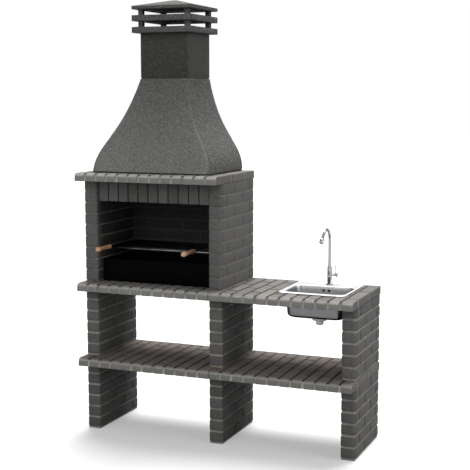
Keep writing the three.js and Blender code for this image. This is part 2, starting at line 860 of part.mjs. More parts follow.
// Inner face of the bowl from the lip to the drain, moved out and down by a sheet for the back.
function bowlRings(sheet) {
  const down = rimTop - sheet;
  const floor = bowlFloor - sheet;
  const ring = (inset, radius, z) => evenRing(shrink(bowlArea, inset - sheet), radius, z, bowlSteps);
  const turnIn = bowlFloorRadius * (1 - Math.SQRT1_2);
  return [
    ring(-bowlLip, bowlCorner + bowlLip, down),
    ring(0, bowlCorner, down - bowlLip),
    ring(bowlTaper, bowlCorner, floor + bowlFloorRadius),
    ring(bowlTaper + turnIn, bowlCorner, floor + turnIn),
    ring(bowlTaper + bowlFloorRadius, bowlCorner, floor),
    circleRing(seatFlangeRadius + drainSink - sheet, floor - drainSink),
    circleRing(drainRadius, floor - drainSink),
  ];
}
const rimRings = [
  evenRing(sinkArea, sinkCorner, rimUnderside, bowlSteps),
  evenRing(sinkArea, sinkCorner, rimTop, bowlSteps),
  evenRing(shrink(sinkArea, rimSlope), sinkCorner, rimTop + rimRaise, bowlSteps),
  evenRing(shrink(sinkArea, rimBand), sinkCorner, rimTop, bowlSteps),
];
const sinkShell = toSolid(loft([...rimRings, ...bowlRings(0), ...bowlRings(sinkSheet).toReversed()], true));
const overflowZ = rimTop - overflowLevel;
const bowlBack = bowlArea[3];
const overflowHoles = [-overflowSpacing / 2, overflowSpacing / 2].map((shift) => rod(
  [sinkCentre + shift, bowlBack - bowlTaper - overrun, overflowZ],
  [sinkCentre + shift, bowlBack + overrun, overflowZ],
  overflowRadius,
  pipeSides,
));
const tapHole = disc(tapHoleRadius, rimUnderside - overrun, rimTop + overrun, pipeSides)
  .translate(sinkCentre, tapY, 0);
place('sink_bowl', toGeometry(cut(sinkShell, [...overflowHoles, tapHole])), sinkSteel);

// Waste: strainer seat in the drain, lift-out basket, gasket, body with tail, nut
const drainFloor = bowlFloor - drainSink;
const seatTop = drainFloor + seatGap + seatThickness;
const seatBottom = drainFloor - seatCupDepth;
const waste = new THREE.Group();
waste.position.set(sinkCentre, bowlCentreY, 0);
barbecue.add(waste);
const cupInner = seatCupRadius - seatThickness;
const seatProfile = [
  [cupInner, seatTop], [cupInner, seatBottom + seatThickness], [tailRadius / 2, seatBottom + seatThickness],
  [tailRadius / 2, seatBottom], [seatCupRadius, seatBottom], [seatCupRadius, drainFloor + seatGap],
  [seatFlangeRadius, drainFloor + seatGap], [seatFlangeRadius, seatTop], [cupInner, seatTop],
];
place('strainer_seat', turned(seatProfile), sinkSteel, waste);

const basketFloor = seatBottom + seatThickness + seatGap;
const basketTop = seatTop + seatGap;
const basketProfile = [
  [0, basketFloor], [basketRadius - basketFlare, basketFloor], [basketRadius - seatThickness, basketTop],
  [basketRadius + basketFlare, basketTop], [basketRadius + basketFlare, basketTop + basketSheet],
  [basketRadius - seatThickness - basketSheet, basketTop + basketSheet],
  [basketRadius - basketFlare - basketSheet, basketFloor + basketSheet],
  [knobRadius / 2, basketFloor + basketSheet], [knobRadius / 2, basketFloor + knobHeight],
  [knobRadius, basketFloor + knobHeight], [knobRadius, basketFloor + knobHeight + knobRadius],
  [0, basketFloor + knobHeight + knobRadius],
];
const basketBores = Array.from({ length: basketHoles }, (_, i) => {
  const angle = i * 2 * Math.PI / basketHoles;
  return disc(basketHoleRadius, basketFloor - overrun / 2, basketFloor + overrun / 2, rodSides)
    .translate(basketHoleCircle * Math.cos(angle), basketHoleCircle * Math.sin(angle), 0);
});
const basket = cut(toSolid(turned(basketProfile)), basketBores);
place('basket_strainer', toGeometry(basket), sinkSteel, waste);

const sinkBelow = drainFloor - sinkSheet;
const gasketTop = sinkBelow - seatGap;
const gasketBottom = gasketTop - gasketThickness;
const gasketInner = seatCupRadius + boreClearance;
place('waste_gasket', washerRing(gasketInner, seatFlangeRadius, gasketBottom, gasketTop), rubber, waste);

const wasteTop = gasketBottom - seatGap;
const wasteFloor = wasteTop - wasteHeight;
const tailEnd = wasteFloor - tailLength;
const tailInner = tailRadius - wasteWall;
const wasteProfile = [
  [tailInner, tailEnd], [tailRadius, tailEnd], [tailRadius, wasteFloor],
  [wasteRadius - wasteWall, wasteFloor], [wasteRadius, wasteFloor + wasteWall], [wasteRadius, wasteTop],
  [wasteRadius - wasteWall, wasteTop], [wasteRadius - wasteWall, wasteFloor + wasteWall],
  [tailInner, wasteFloor + wasteWall], [tailInner, tailEnd],
];
const spigotZ = wasteFloor + wasteHeight / 2;
const spigotEnd = wasteRadius + spigotLength;
const spigot = rod(
  [0, wasteRadius - wasteWall / 2, spigotZ],
  [0, spigotEnd, spigotZ],
  spigotRadius,
  pipeSides,
);
const spigotBore = rod(
  [0, wasteRadius - wasteWall - overrun, spigotZ],
  [0, spigotEnd + overrun, spigotZ],
  overflowPipeRadius + boreClearance,
  pipeSides,
);
const wasteBody = cut(join([turned(wasteProfile), spigot]), [spigotBore]);
place('waste_body', toGeometry(wasteBody), whitePlastic, waste);

const tailNutTop = wasteFloor - seatGap;
const tailNut = washerRing(
  tailRadius + boreClearance,
  tailNutRadius,
  tailNutTop - tailNutHeight,
  tailNutTop,
);
place('waste_tail_nut', tailNut, whitePlastic, waste);

// Overflow: a box on the back of the bowl, open to its two holes, and a pipe down to the waste
const overflowFace = bowlBack + sinkSheet + seatGap;
const overflowBoxTop = rimUnderside - seatGap - bowlLip;
const overflowBoxBody = block(
  [sinkCentre - overflowBoxWidth / 2, overflowFace, overflowBoxTop - overflowBoxHeight],
  [sinkCentre + overflowBoxWidth / 2, overflowFace + overflowBoxDepth, overflowBoxTop],
);
const overflowHollow = block(
  [
    sinkCentre - overflowBoxWidth / 2 + wasteWall,
    overflowFace - overrun,
    overflowBoxTop - overflowBoxHeight + wasteWall,
  ],
  [
    sinkCentre + overflowBoxWidth / 2 - wasteWall,
    overflowFace + overflowBoxDepth - wasteWall,
    overflowBoxTop - wasteWall,
  ],
);
const overflowPipeY = overflowFace + overflowBoxDepth / 2;
const overflowBoxFloor = overflowBoxTop - overflowBoxHeight;
const overflowDrain = disc(
  overflowPipeRadius / 2,
  overflowBoxFloor - overrun,
  overflowBoxTop - overrun,
  rodSides,
).translate(sinkCentre, overflowPipeY, 0);
const overflowBox = cut(toSolid(overflowBoxBody), [overflowHollow, overflowDrain]);
place('overflow_box', toGeometry(overflowBox), whitePlastic);

// Path of a straight run, one round bend towards a side, and a second straight run.
class BentPath extends THREE.Curve {
  constructor(start, [heading, side], runs, bendRadius, bendAngle) {
    super();
    Object.assign(this, { start, heading, side, runs, bendRadius, bendAngle });
  }

  onBend(angle) {
    const along = this.runs[0] + this.bendRadius * Math.sin(angle);
    const across = this.bendRadius * (1 - Math.cos(angle));
    return this.start.clone()
      .addScaledVector(this.heading, along)
      .addScaledVector(this.side, across);
  }

  directionAt(angle) {
    return this.heading.clone()
      .multiplyScalar(Math.cos(angle))
      .addScaledVector(this.side, Math.sin(angle));
  }

  getPoint(share) {
    const [firstRun, lastRun] = this.runs;
    const arc = this.bendRadius * this.bendAngle;
    const along = share * (firstRun + arc + lastRun);
    if (along < firstRun) {
      return this.start.clone().addScaledVector(this.heading, along);
    }
    const bent = Math.min(along - firstRun, arc);
    const angle = bent / this.bendRadius;
    return this.onBend(angle).addScaledVector(this.directionAt(angle), along - firstRun - bent);
  }
}

// Round pipe along a path, as one extruded section.
function pipeAlong(path, radius, steps, sides = pipeSides) {
  const section = new THREE.Shape(
    Array.from({ length: sides }, (_, i) => {
      const angle = i * 2 * Math.PI / sides;
      return new THREE.Vector2(radius * Math.cos(angle), radius * Math.sin(angle));
    }),
  );
  return new THREE.ExtrudeGeometry(section, { steps, extrudePath: path, bevelEnabled: false });
}
const overflowFoot = new THREE.Vector3(sinkCentre, overflowPipeY, overflowBoxFloor - seatGap);
const overflowDrop = overflowFoot.z - overflowBend - spigotZ;
const overflowRun = overflowPipeY - overflowBend - bowlCentreY - wasteRadius - spigotRadius;
const overflowPath = new BentPath(
  overflowFoot,
  [new THREE.Vector3(0, 0, -1), new THREE.Vector3(0, -1, 0)],
  [overflowDrop, overflowRun],
  overflowBend,
  Math.PI / 2,
);
place('overflow_pipe', pipeAlong(overflowPath, overflowPipeRadius, bendSteps), whitePlastic);

// Tap: base ring, body with shank and side boss, washer, nut and inlet under the ledge
const tap = new THREE.Group();
tap.position.set(sinkCentre, tapY, rimTop);
barbecue.add(tap);
const ringInner = shankRadius + boreClearance;
place('tap_base_ring', washerRing(ringInner, tapBaseRadius, seatGap, tapBaseHeight), chrome, tap);
const bodyLevel = tapBaseHeight + seatGap;
const bodyProfile = [
  [0, -shankLength], [shankRadius, -shankLength], [shankRadius, bodyLevel], [tapRadius, bodyLevel],
  [tapRadius, tapHeight], [spoutRadius + boreClearance, tapHeight],
  [spoutRadius + boreClearance, tapHeight - spoutSocket], [0, tapHeight - spoutSocket],
];
const boss = rod([0, 0, leverLevel], [bossReach, 0, leverLevel], bossRadius, pipeSides);
const spindleBore = rod(
  [bossReach - spindleReach, 0, leverLevel],
  [bossReach + overrun, 0, leverLevel],
  spindleRadius + boreClearance,
  pipeSides,
);
const tapBody = cut(join([turned(bodyProfile), boss]), [spindleBore]);
place('tap_body', toGeometry(tapBody), chrome, tap);

const ledgeBelow = -sinkSheet - seatGap;
const washer = washerRing(ringInner, washerRadius, ledgeBelow - washerHeight, ledgeBelow);
place('tap_washer', washer, rubber, tap);
const nutTop = ledgeBelow - washerHeight - seatGap;
const hexNut = disc(nutRadius, nutTop - nutHeight, nutTop, rodSides);
const nutBore = disc(ringInner, nutTop - nutHeight - overrun, nutTop + overrun);
place('tap_nut', toGeometry(cut(toSolid(hexNut), [nutBore])), brass, tap);
const inletTop = -shankLength - seatGap;
place('tap_inlet', disc(inletRadius, inletTop - inletLength, inletTop, rodSides), brass, tap);

// Swivelling spout: riser, one bend and a slanted tip
const spoutFoot = tapHeight - spoutSocket + seatGap;
const spoutAngle = spoutArcShare * Math.PI;
const spoutPath = new BentPath(
  new THREE.Vector3(0, 0, spoutFoot),
  [new THREE.Vector3(0, 0, 1), new THREE.Vector3(0, -1, 0)],
  [spoutRise, spoutTip],
  spoutBend,
  spoutAngle,
);
const tipDirection = spoutPath.directionAt(spoutAngle);
place('tap_spout', pipeAlong(spoutPath, spoutRadius, spoutSteps), chrome, tap);
const collarLevel = tapHeight + seatGap;
const collar = washerRing(
  spoutRadius + boreClearance,
  collarRadius,
  collarLevel,
  collarLevel + collarHeight,
);
place('spout_collar', collar, chrome, tap);

// Aerator on the tip, open at its mouth
const aeratorProfile = [
  [0, 0], [aeratorRadius, 0], [aeratorRadius, aeratorLength], [aeratorBore, aeratorLength],
  [aeratorBore, aeratorLength - aeratorRecess], [0, aeratorLength - aeratorRecess],
];
const aerator = place('tap_aerator', turned(aeratorProfile, pipeSides), chrome, tap);
aerator.position.copy(spoutPath.onBend(spoutAngle))
  .addScaledVector(tipDirection, spoutTip + seatGap);
aerator.quaternion.setFromUnitVectors(new THREE.Vector3(0, 0, 1), tipDirection);

// Lever: spindle in the boss, hub with an end disc and an upright pin
const hubStart = bossReach + seatGap;
const hubEnd = hubStart + hubLength;
const spindleStart = bossReach - spindleReach + seatGap;
const lever = join([
  rod([spindleStart, 0, 0], [hubEnd, 0, 0], spindleRadius, pipeSides),
  rod([hubStart, 0, 0], [hubEnd, 0, 0], hubRadius, pipeSides),
  rod([hubEnd - seatGap, 0, 0], [hubEnd + discThickness, 0, 0], discRadius, roundSides),
]);
const pinX = hubStart + hubLength / 2;
const pinBore = rod([pinX, 0, spindleRadius], [pinX, 0, discRadius], pinRadius + boreClearance, rodSides);
place('lever_hub', toGeometry(cut(lever, [pinBore])), chrome, tap).position.z = leverLevel;
const pinFoot = spindleRadius + seatGap;
const pin = join([
  rod([0, 0, pinFoot], [0, 0, pinFoot + pinLength], pinRadius),
  new THREE.SphereGeometry(pinRadius * pinHeadShare, rodSides + 2, rodSides)
    .translate(0, 0, pinFoot + pinLength),
]);
place('lever_pin', toGeometry(pin), chrome, tap).position.set(pinX, 0, leverLevel);

export default barbecue;
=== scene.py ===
"""Outdoor masonry barbecue with a sink bay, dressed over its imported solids.

Lengths are millimetres in the masonry's own frame, from the left pier's front left foot,
and place() turns them into metres in the solids' frame.
"""

import math

import bpy
import numpy as np
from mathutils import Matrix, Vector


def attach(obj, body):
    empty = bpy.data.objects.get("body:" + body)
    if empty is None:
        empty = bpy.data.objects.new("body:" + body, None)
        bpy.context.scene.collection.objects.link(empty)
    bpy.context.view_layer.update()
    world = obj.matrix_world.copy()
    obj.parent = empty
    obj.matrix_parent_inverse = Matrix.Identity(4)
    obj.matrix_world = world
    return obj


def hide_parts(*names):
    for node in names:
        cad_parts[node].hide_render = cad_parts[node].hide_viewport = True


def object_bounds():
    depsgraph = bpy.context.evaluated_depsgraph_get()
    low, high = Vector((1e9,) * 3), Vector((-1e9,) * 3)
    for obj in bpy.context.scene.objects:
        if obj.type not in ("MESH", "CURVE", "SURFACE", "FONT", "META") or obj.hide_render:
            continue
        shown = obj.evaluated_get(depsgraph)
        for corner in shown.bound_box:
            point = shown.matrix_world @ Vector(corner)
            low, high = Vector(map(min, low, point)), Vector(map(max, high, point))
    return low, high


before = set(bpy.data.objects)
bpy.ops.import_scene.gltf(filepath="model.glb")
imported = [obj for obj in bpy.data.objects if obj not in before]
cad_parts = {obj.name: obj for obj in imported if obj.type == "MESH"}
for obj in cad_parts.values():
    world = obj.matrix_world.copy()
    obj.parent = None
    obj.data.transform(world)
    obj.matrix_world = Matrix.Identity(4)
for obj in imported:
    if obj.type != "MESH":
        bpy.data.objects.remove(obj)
solid_box = [list(corner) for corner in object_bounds()]
scene = bpy.context.scene

# Driving sizes of the masonry
COURSE = 64.0
BED = 11.0
JOINT = 9.0
ROW_JOINT = 12.5
CROSS_JOINT = 11.0
FIREBOX_BED = 6.5
FIREBOX_JOINT = 4.0
BRICK = 222.5
FIRST_JOINT = 177.0
WALL = 86.0
DEPTH = 475.0
LEFT_BAY = 681.0
RIGHT_BAY = 670.0
BACK_WALL = 48.0
SLAB = 48.0
OVERHANG = 8.0
NOSE = 82.0
MANTEL_NOSE = 88.0
NOSE_RADIUS = 19.0
CORNER = 17.0
CORE_INSET = 1.8
CORE_DROP = 0.4
SLAB_CORE = {"front": 1.6, "low": 3.0, "top": 2.0}
SLAB_BRICK_LOW = 0.5
FACE_BAND = 9.0
SWELL = 0.7
SWELL_WAVES = (46.0, 19.0)
SEAT = 0.3
PIER_COURSES = 6
WALL_COURSES = 9
SLAB_ROWS = 12
MANTEL_ROWS = 13
LINTEL_BRICKS = 11
LINTEL_HEIGHT = 116.0
LINTEL_SETBACK = 20.0
LINTEL_GROOVE = 4.8
LINTEL_CORE_INSET = 5.0
FLUE_BEARING = 30.0
FLUE_MARGIN = 10.0

# Places of the masonry
ORIGIN = np.array([
    round(-1000 * solid_box[0][0] - OVERHANG, 1),
    round(-1000 * solid_box[0][1] - MANTEL_NOSE, 1),
    0.0,
])
MIDDLE = WALL + LEFT_BAY
RIGHT = MIDDLE + WALL + RIGHT_BAY
WIDTH = RIGHT + WALL
SEAM = (WIDTH - OVERHANG) / 2
INNER_BACK = DEPTH - BACK_WALL
SHELF = PIER_COURSES * COURSE
SHELF_TOP = SHELF + SLAB
WORKTOP = SHELF_TOP + PIER_COURSES * COURSE
WORKTOP_TOP = WORKTOP + SLAB
MANTEL = WORKTOP_TOP + WALL_COURSES * COURSE
MANTEL_TOP = MANTEL + SLAB
LINTEL_BACK = LINTEL_SETBACK + WALL
LINTEL_LOW = MANTEL - LINTEL_HEIGHT
FLUE_OPENING = (WALL + FLUE_BEARING, MIDDLE - FLUE_BEARING, LINTEL_BACK + FLUE_MARGIN,
                INNER_BACK - FLUE_MARGIN)

# Flue, hood and cap
HOOD_X = (MIDDLE + WALL) / 2
HOOD_BED = 6.0
HOOD_HEIGHT = 514.0
HOOD_WALL = 30.0
HOOD_FOOT_HALF = 361.0
HOOD_NECK_HALF = 150.0
HOOD_FRONT = -27.0
HOOD_CORNERS = (30.0, 6.0)
FLUE_HALF = 148.0
FLUE_BORE = FLUE_HALF - 30.0
FLUE_Y = DEPTH - FLUE_HALF
FLUE_CENTRE = (HOOD_X, FLUE_Y)
FLUE_BED = 4.0
FLUE_HEIGHT = 250.0
CAP_HALF = 184.0
RING = 33.0
FOOT = 28.0
FOOT_HEIGHT = 32.0
FOOT_INSET = 28.0
EAVE = 19.0
ROOF_RISE = 38.0
ROOF_TOP_HALF = 12.0
HOOD_Z = MANTEL_TOP + HOOD_BED
HOOD_NECK_FRONT = FLUE_Y - FLUE_HALF
HOOD_HALVES = (HOOD_FOOT_HALF, HOOD_FOOT_HALF, HOOD_NECK_HALF + 67.0, HOOD_NECK_HALF)
HOOD_FRONTS = (HOOD_FRONT, HOOD_FRONT + 55.0, HOOD_NECK_FRONT - 140.0, HOOD_NECK_FRONT)
HOOD_RISES = (0.0, 159.0, HOOD_HEIGHT - 334.0, HOOD_HEIGHT)
FLUE_LOW = HOOD_Z + HOOD_HEIGHT + FLUE_BED
FLUE_TOP = FLUE_LOW + FLUE_HEIGHT
CAP_RINGS = (FLUE_TOP + SEAT, FLUE_TOP + RING + FOOT_HEIGHT + SEAT)
CAP_FEET = (CAP_RINGS[0] + RING, CAP_RINGS[1] + RING)
ROOF_LOW = FLUE_TOP + 2 * (RING + FOOT_HEIGHT)
ROOF = (ROOF_LOW, ROOF_LOW + EAVE, ROOF_LOW + EAVE + ROOF_RISE)

# Cooking grid, ember box and charcoal grate
SUPPORT_RADIUS = 4.0
SUPPORT_EMBED = 25.0
SUPPORT_Y = (121.0, INNER_BACK - 35.0)
SUPPORT_Z = WORKTOP_TOP + 184.0
GRID_ROD = 3.0
GRID_WIDTH = 529.0
GRID_X = (WALL + 22.0, WALL + 22.0 + GRID_WIDTH)
GRID_Y = (SUPPORT_Y[0], INNER_BACK - 20.0)
GRID_Z = SUPPORT_Z + SUPPORT_RADIUS + GRID_ROD + SEAT
WIRES = 28
WIRE_RADIUS = 1.9
WIRE_RISE = 2.0
STEM_START = 12.4
GRIP_LENGTH = 153.0
GRIP_SETBACK = 14.0
GRIP_RADIUS = 15.0
GRIP_FRONT = GRID_Y[0] - GRIP_SETBACK - GRIP_LENGTH
BOX_CLEARANCE = 2.0
BOX = (WALL + BOX_CLEARANCE, MIDDLE - BOX_CLEARANCE, 60.0, INNER_BACK - BOX_CLEARANCE)
BOX_Z = (WORKTOP_TOP + SEAT, WORKTOP_TOP + 128.0)
SHEET = 3.0
RIB_LEVELS = (52.0, 95.0)
RIB_DEPTH = 4.0
RIB_HALF = 7.0
RIB_MARGIN = 30.0
GRATE_LEVEL = 46.0
GRATE_MARGIN = 14.0
GRATE_BAR = 8.0
GRATE_PITCH = 48.0
GRATE_FOOT = 12.0

# Sink, waste and tap
STEEL = 1.5
SEALANT = 1.5
RIM_TOP = WORKTOP_TOP + 2 * SEAT + SEALANT + STEEL
RIM_CORNER = 22.0
SINK_FRONT = 50.0
SINK_BACK = DEPTH - 40.0
SIDE_LEDGE = 19.0
TAP_LEDGE = 103.0
CUTOUT_MARGIN = 10.0
BOWL_WIDTH = 337.0
BOWL_DEPTH = 144.0
BOWL_RIGHT = RIGHT - 16.5
BOWL = (BOWL_RIGHT - BOWL_WIDTH, BOWL_RIGHT, SINK_FRONT + 45.0, SINK_BACK - TAP_LEDGE)
SINK = (BOWL[0] - SIDE_LEDGE, BOWL[1] + SIDE_LEDGE, SINK_FRONT, SINK_BACK)
SINK_OPENING = (SINK[0] + CUTOUT_MARGIN, SINK[1] - CUTOUT_MARGIN,
                SINK[2] + CUTOUT_MARGIN, SINK[3] - CUTOUT_MARGIN)
BOWL_FLOOR = RIM_TOP - BOWL_DEPTH
DRAIN = ((BOWL[0] + BOWL[1]) / 2, (BOWL[2] + BOWL[3]) / 2)
DRAIN_FLOOR = BOWL_FLOOR - 3.0
OVERFLOW_X = (DRAIN[0] - 16.5, DRAIN[0] + 16.5)
OVERFLOW_RADIUS = 7.5
OVERFLOW_DROP = 26.0
OVERFLOW_BEND = 24.0
OVERFLOW_BOX = (64.0, 18.0, 34.0)
OVERFLOW_WALL = 3.0
OVERFLOW_FRONT = BOWL[3] + STEEL + SEAT
OVERFLOW_TOP = RIM_TOP - STEEL - SEAT - 5.0
OVERFLOW_PIPE = (5.5, 4.0)
SEAT_DEPTH = 16.0
WASTE_HEIGHT = 18.0
TAIL_LENGTH = 26.0
TAP = (DRAIN[0], SINK_BACK - 50.0, RIM_TOP)
TAP_HOLE = 11.0
TAP_HEIGHT = 98.0
SPOUT_FOOT = 80.3
SPOUT_RUNS = (169.0, 40.0)
SPOUT_BEND = 66.0
SPOUT_TURN = 134
SPOUT_RADIUS = 8.0
LEVER_LEVEL = 57.0
LEVER_REACH = 19.3
LEVER_PIN_REACH = 14.0

# Axes of turned pieces that lie flat
TO_BACK = {"along": (0, 1, 0), "across": (1, 0, 0)}
TO_SIDE = {"along": (1, 0, 0), "across": (0, 1, 0)}

# Heights in metres from where the darkening towards the bottom, shelf dirt and the painted shade
# towards the top start to where they are full
LOW_DARKENING = (0.8, 0.0)
STORED = (0.6, 0.5)
TOP_SHADE = (1.50, 2.02)


# Mesh making
def place(points):
    """Masonry millimetres to metres in the solids' frame."""
    return (np.asarray(points, float) - ORIGIN) / 1000


def metres(axis, *lengths):
    """Masonry millimetres along axis 0, 1 or 2 as metres in the solids' frame."""
    return [float(length - ORIGIN[axis]) / 1000 for length in lengths]


def make_mesh(name, points, quads, triangles=None):
    """A mesh from arrays: points (n, 3) in masonry millimetres, quads (m, 4), triangles (k, 3)."""
    quads = np.asarray(quads, int).reshape(-1, 4)
    triangles = np.zeros((0, 3), int) if triangles is None else np.asarray(triangles, int)
    corners = np.concatenate([quads.ravel(), triangles.ravel()])
    starts = np.concatenate([
        np.arange(len(quads)) * 4,
        len(quads) * 4 + np.arange(len(triangles)) * 3,
    ])
    mesh = bpy.data.meshes.new(name)
    mesh.vertices.add(len(points))
    mesh.vertices.foreach_set("co", place(points).astype(np.float32).ravel())
    mesh.loops.add(len(corners))
    mesh.loops.foreach_set("vertex_index", corners.astype(np.int32))
    mesh.polygons.add(len(starts))
    mesh.polygons.foreach_set("loop_start", starts.astype(np.int32))
    mesh.update(calc_edges=True)
    mesh.validate()
    return mesh


def stack(parts):
    """Several (points, quads, triangles) bodies put into one, their indices moved on."""
    points, quads, triangles, at = [], [], [], 0
    for one in parts:
        points.append(one[0])
        quads.append(np.asarray(one[1], int).reshape(-1, 4) + at)
        triangles.append(np.asarray(one[2], int).reshape(-1, 3) + at)
        at += len(one[0])
    return np.concatenate(points), np.concatenate(quads), np.concatenate(triangles)


def add_piece(name, body, materials, form, nodes, smooth):
    """One scene piece from a (points, quads, triangles) form, riding on a body of the frame.
    It takes the place of its nodes, and edges sharper than so many degrees stay sharp."""
    mesh = make_mesh(name, *form)
    for material in materials:
        mesh.materials.append(material)
    mesh.polygons.foreach_set("use_smooth", np.ones(len(mesh.polygons), bool))
    mesh.set_sharp_from_angle(angle=math.radians(smooth))
    piece = bpy.data.objects.new(name, mesh)
    scene.collection.objects.link(piece)
    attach(piece, body)
    if nodes:
        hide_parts(*nodes)
    return piece


def set_values(piece, name, values):
    """Stores one number for each vertex under a name that a material reads."""
    attribute = piece.data.attributes.new(name, "FLOAT", "POINT")
    attribute.data.foreach_set("value", np.asarray(values, np.float32))


def set_finish(piece, indices):
    """Gives every face the number of its material."""
    piece.data.polygons.foreach_set("material_index", np.asarray(indices, np.int32))


def face_values(piece, name):
    """Three numbers for each face of a piece: its normal or its center."""
    values = np.zeros(len(piece.data.polygons) * 3, np.float32)
    piece.data.polygons.foreach_get(name, values)
    return values.reshape(-1, 3)


def refinish(node, finish):
    """Gives a solid that is shown as it is another material."""
    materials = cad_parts[node].data.materials
    materials.clear()
    materials.append(finish)


def ripple(points, wavelength, seed):
    """Smooth irregularity: the mean of seven sine waves in seeded directions, from -1 to 1."""
    chance = np.random.default_rng(seed)
    directions = chance.normal(size=(7, 3))
    directions /= np.linalg.norm(directions, axis=1)[:, None]
    numbers = 2 * math.pi / wavelength * chance.uniform(0.6, 1.7, 7)
    phases = chance.uniform(0, 2 * math.pi, 7)
    return np.sin(points @ (directions * numbers[:, None]).T + phases).mean(1) * 1.6


def grid_quads(rows, columns, loop_rows):
    """Quads between rings of points. Faces look outwards when the points run anticlockwise
    about the direction in which the rings advance."""
    i = np.arange(rows if loop_rows else rows - 1)[:, None]
    j = np.arange(columns)[None, :]
    next_i, next_j = (i + 1) % rows, (j + 1) % columns
    corner = [i * columns + j, i * columns + next_j, next_i * columns + next_j, next_i * columns + j]
    return np.stack(corner, -1).reshape(-1, 4)


def tube(rings, closed=False):
    """A body through rings of points (n, m, 3): either closed on itself like a hoop,
    or ended by a fan of triangles round the middle point of its first and last ring."""
    n, m = rings.shape[:2]
    points = rings.reshape(-1, 3)
    quads = grid_quads(n, m, closed)
    if closed:
        return points, quads, np.zeros((0, 3), int)
    j = np.arange(m)
    k = (j + 1) % m
    last = (n - 1) * m
    low = np.stack([np.full(m, n * m), k, j], 1)
    high = np.stack([np.full(m, n * m + 1), last + j, last + k], 1)
    points = np.concatenate([points, [rings[0].mean(0), rings[-1].mean(0)]])
    return points, quads, np.concatenate([low, high])


def rounded_rings(box, inset, radius, z, steps, sides):
    """Rounded rectangles at heights z: the box (x0, x1, y0, y1) drawn in all round by an inset,
    with quarter circles about the four inner corners and the straight sides cut into equal
    lengths. A number holds for all rings, an array has one value for each."""
    x0, x1, y0, y1 = box
    x0, x1, y0, y1, radius, z = np.broadcast_arrays(*[
        np.atleast_1d(np.asarray(v, float))
        for v in (x0 + inset, x1 - inset, y0 + inset, y1 - inset, radius, z)
    ])
    quarter = np.linspace(0, math.pi / 2, steps + 1)
    corners = [(x0, y0, 1, 1), (x1, y0, -1, 1), (x1, y1, -1, -1), (x0, y1, 1, -1)]
    arcs = []
    for number, (x, y, into_x, into_y) in enumerate(corners):
        angle = math.pi + number * math.pi / 2 + quarter
        arcs.append(np.stack([
            (x + into_x * radius)[:, None] + radius[:, None] * np.cos(angle),
            (y + into_y * radius)[:, None] + radius[:, None] * np.sin(angle),
            np.broadcast_to(z[:, None], (len(z), steps + 1)),
        ], -1))
    runs = []
    for number, arc in enumerate(arcs):
        following = arcs[(number + 1) % 4]
        share = (np.arange(1, sides) / sides)[None, :, None]
        runs += [arc, arc[:, -1:] * (1 - share) + following[:, :1] * share]
    return np.concatenate(runs, 1)


def square_rings(centre, half, radius, z, steps, sides):
    """Rounded squares about an upright line, one for each half width and height."""
    x, y = centre
    return rounded_rings((x, x, y, y), -half, radius, z, steps, sides)


def full_turn(count):
    """Equal angles once round, in radians."""
    return np.arange(count) * 2 * math.pi / count


def shaped_ring(centre, radius, z):
    """A hoop about an upright line, from a radius for each height (n) and angle (m)."""
    angle = full_turn(radius.shape[1])
    height = np.broadcast_to(z[:, None], radius.shape)
    rings = [centre[0] + radius * np.cos(angle), centre[1] + radius * np.sin(angle), height]
    return tube(np.stack(rings, -1), closed=True)


def lathe(profile, centre, sides, along=(0, 0, 1), across=(1, 0, 0)):
    """A profile of (radius, height) pairs turned about an axis. It runs from the lowest point
    outwards and up. It starts and ends on the axis, or else it closes on itself like a hoop."""
    profile = np.asarray(profile, float)
    along, across = np.asarray(along, float), np.asarray(across, float)
    other = np.cross(along, across)
    angle = full_turn(sides)
    spoke = np.cos(angle)[:, None] * across + np.sin(angle)[:, None] * other
    rings = (
        profile[:, None, :1] * spoke[None] + profile[:, None, 1:] * along + np.asarray(centre, float)
    )
    on_axis = profile[0, 0] < 1e-6 and profile[-1, 0] < 1e-6
    return tube(rings[1:-1] if on_axis else rings, closed=not on_axis)


def bars(starts, ends, radius, sides, bevel=0.25):
    """Round rods between points: two rings at each end, the outer one drawn in a little."""
    starts, ends = np.atleast_2d(starts).astype(float), np.atleast_2d(ends).astype(float)
    bodies = []
    for start, end in zip(starts, ends):
        length = np.linalg.norm(end - start)
        along = (end - start) / length
        across = np.cross(along, [0.0, 0.0, 1.0] if abs(along[2]) < 0.9 else [1.0, 0.0, 0.0])
        across /= np.linalg.norm(across)
        cut = bevel * radius
        outline = [(0, 0), (radius - cut, 0), (radius, cut), (radius, length - cut),
                   (radius - cut, length), (0, length)]
        bodies.append(lathe(outline, start, sides, along, across))
    return stack(bodies)


def brick_grid(cells):
    """Grid on a cube's six sides: for each point the share of the straight part and the share
    of the rounding on each axis. The places on an axis are the rounding's outer edge and
    middle, equal cells over the straight part, and the same rounding at the other end."""
    flat, turn, count = [], [], []
    for cell in cells:
        middle = np.linspace(-1, 1, cell + 1)
        flat.append(np.concatenate([[-1, -1], middle, [1, 1]]))
        turn.append(np.concatenate([[-1, -0.5], np.zeros(cell + 1), [0.5, 1]]))
        count.append(cell + 5)
    place_of = np.full(count, -1)
    on_skin = np.zeros(count, bool)
    for axis in range(3):
        index = [slice(None)] * 3
        for end in (0, -1):
            index[axis] = end
            on_skin[tuple(index)] = True
    place_of[on_skin] = np.arange(on_skin.sum())
    where = np.argwhere(on_skin)
    flats = np.stack([flat[a][where[:, a]] for a in range(3)], 1)
    turns = np.stack([turn[a][where[:, a]] for a in range(3)], 1)
    quads = []
    for axis in range(3):
        for end in (0, -1):
            side = np.take(place_of, end, axis=axis)
            a, b, c, d = side[:-1, :-1], side[1:, :-1], side[1:, 1:], side[:-1, 1:]
            order = [a, b, c, d] if (end == -1) == (axis != 1) else [a, d, c, b]
            quads.append(np.stack(order, -1).reshape(-1, 4))
    return flats, turns, np.concatenate(quads)


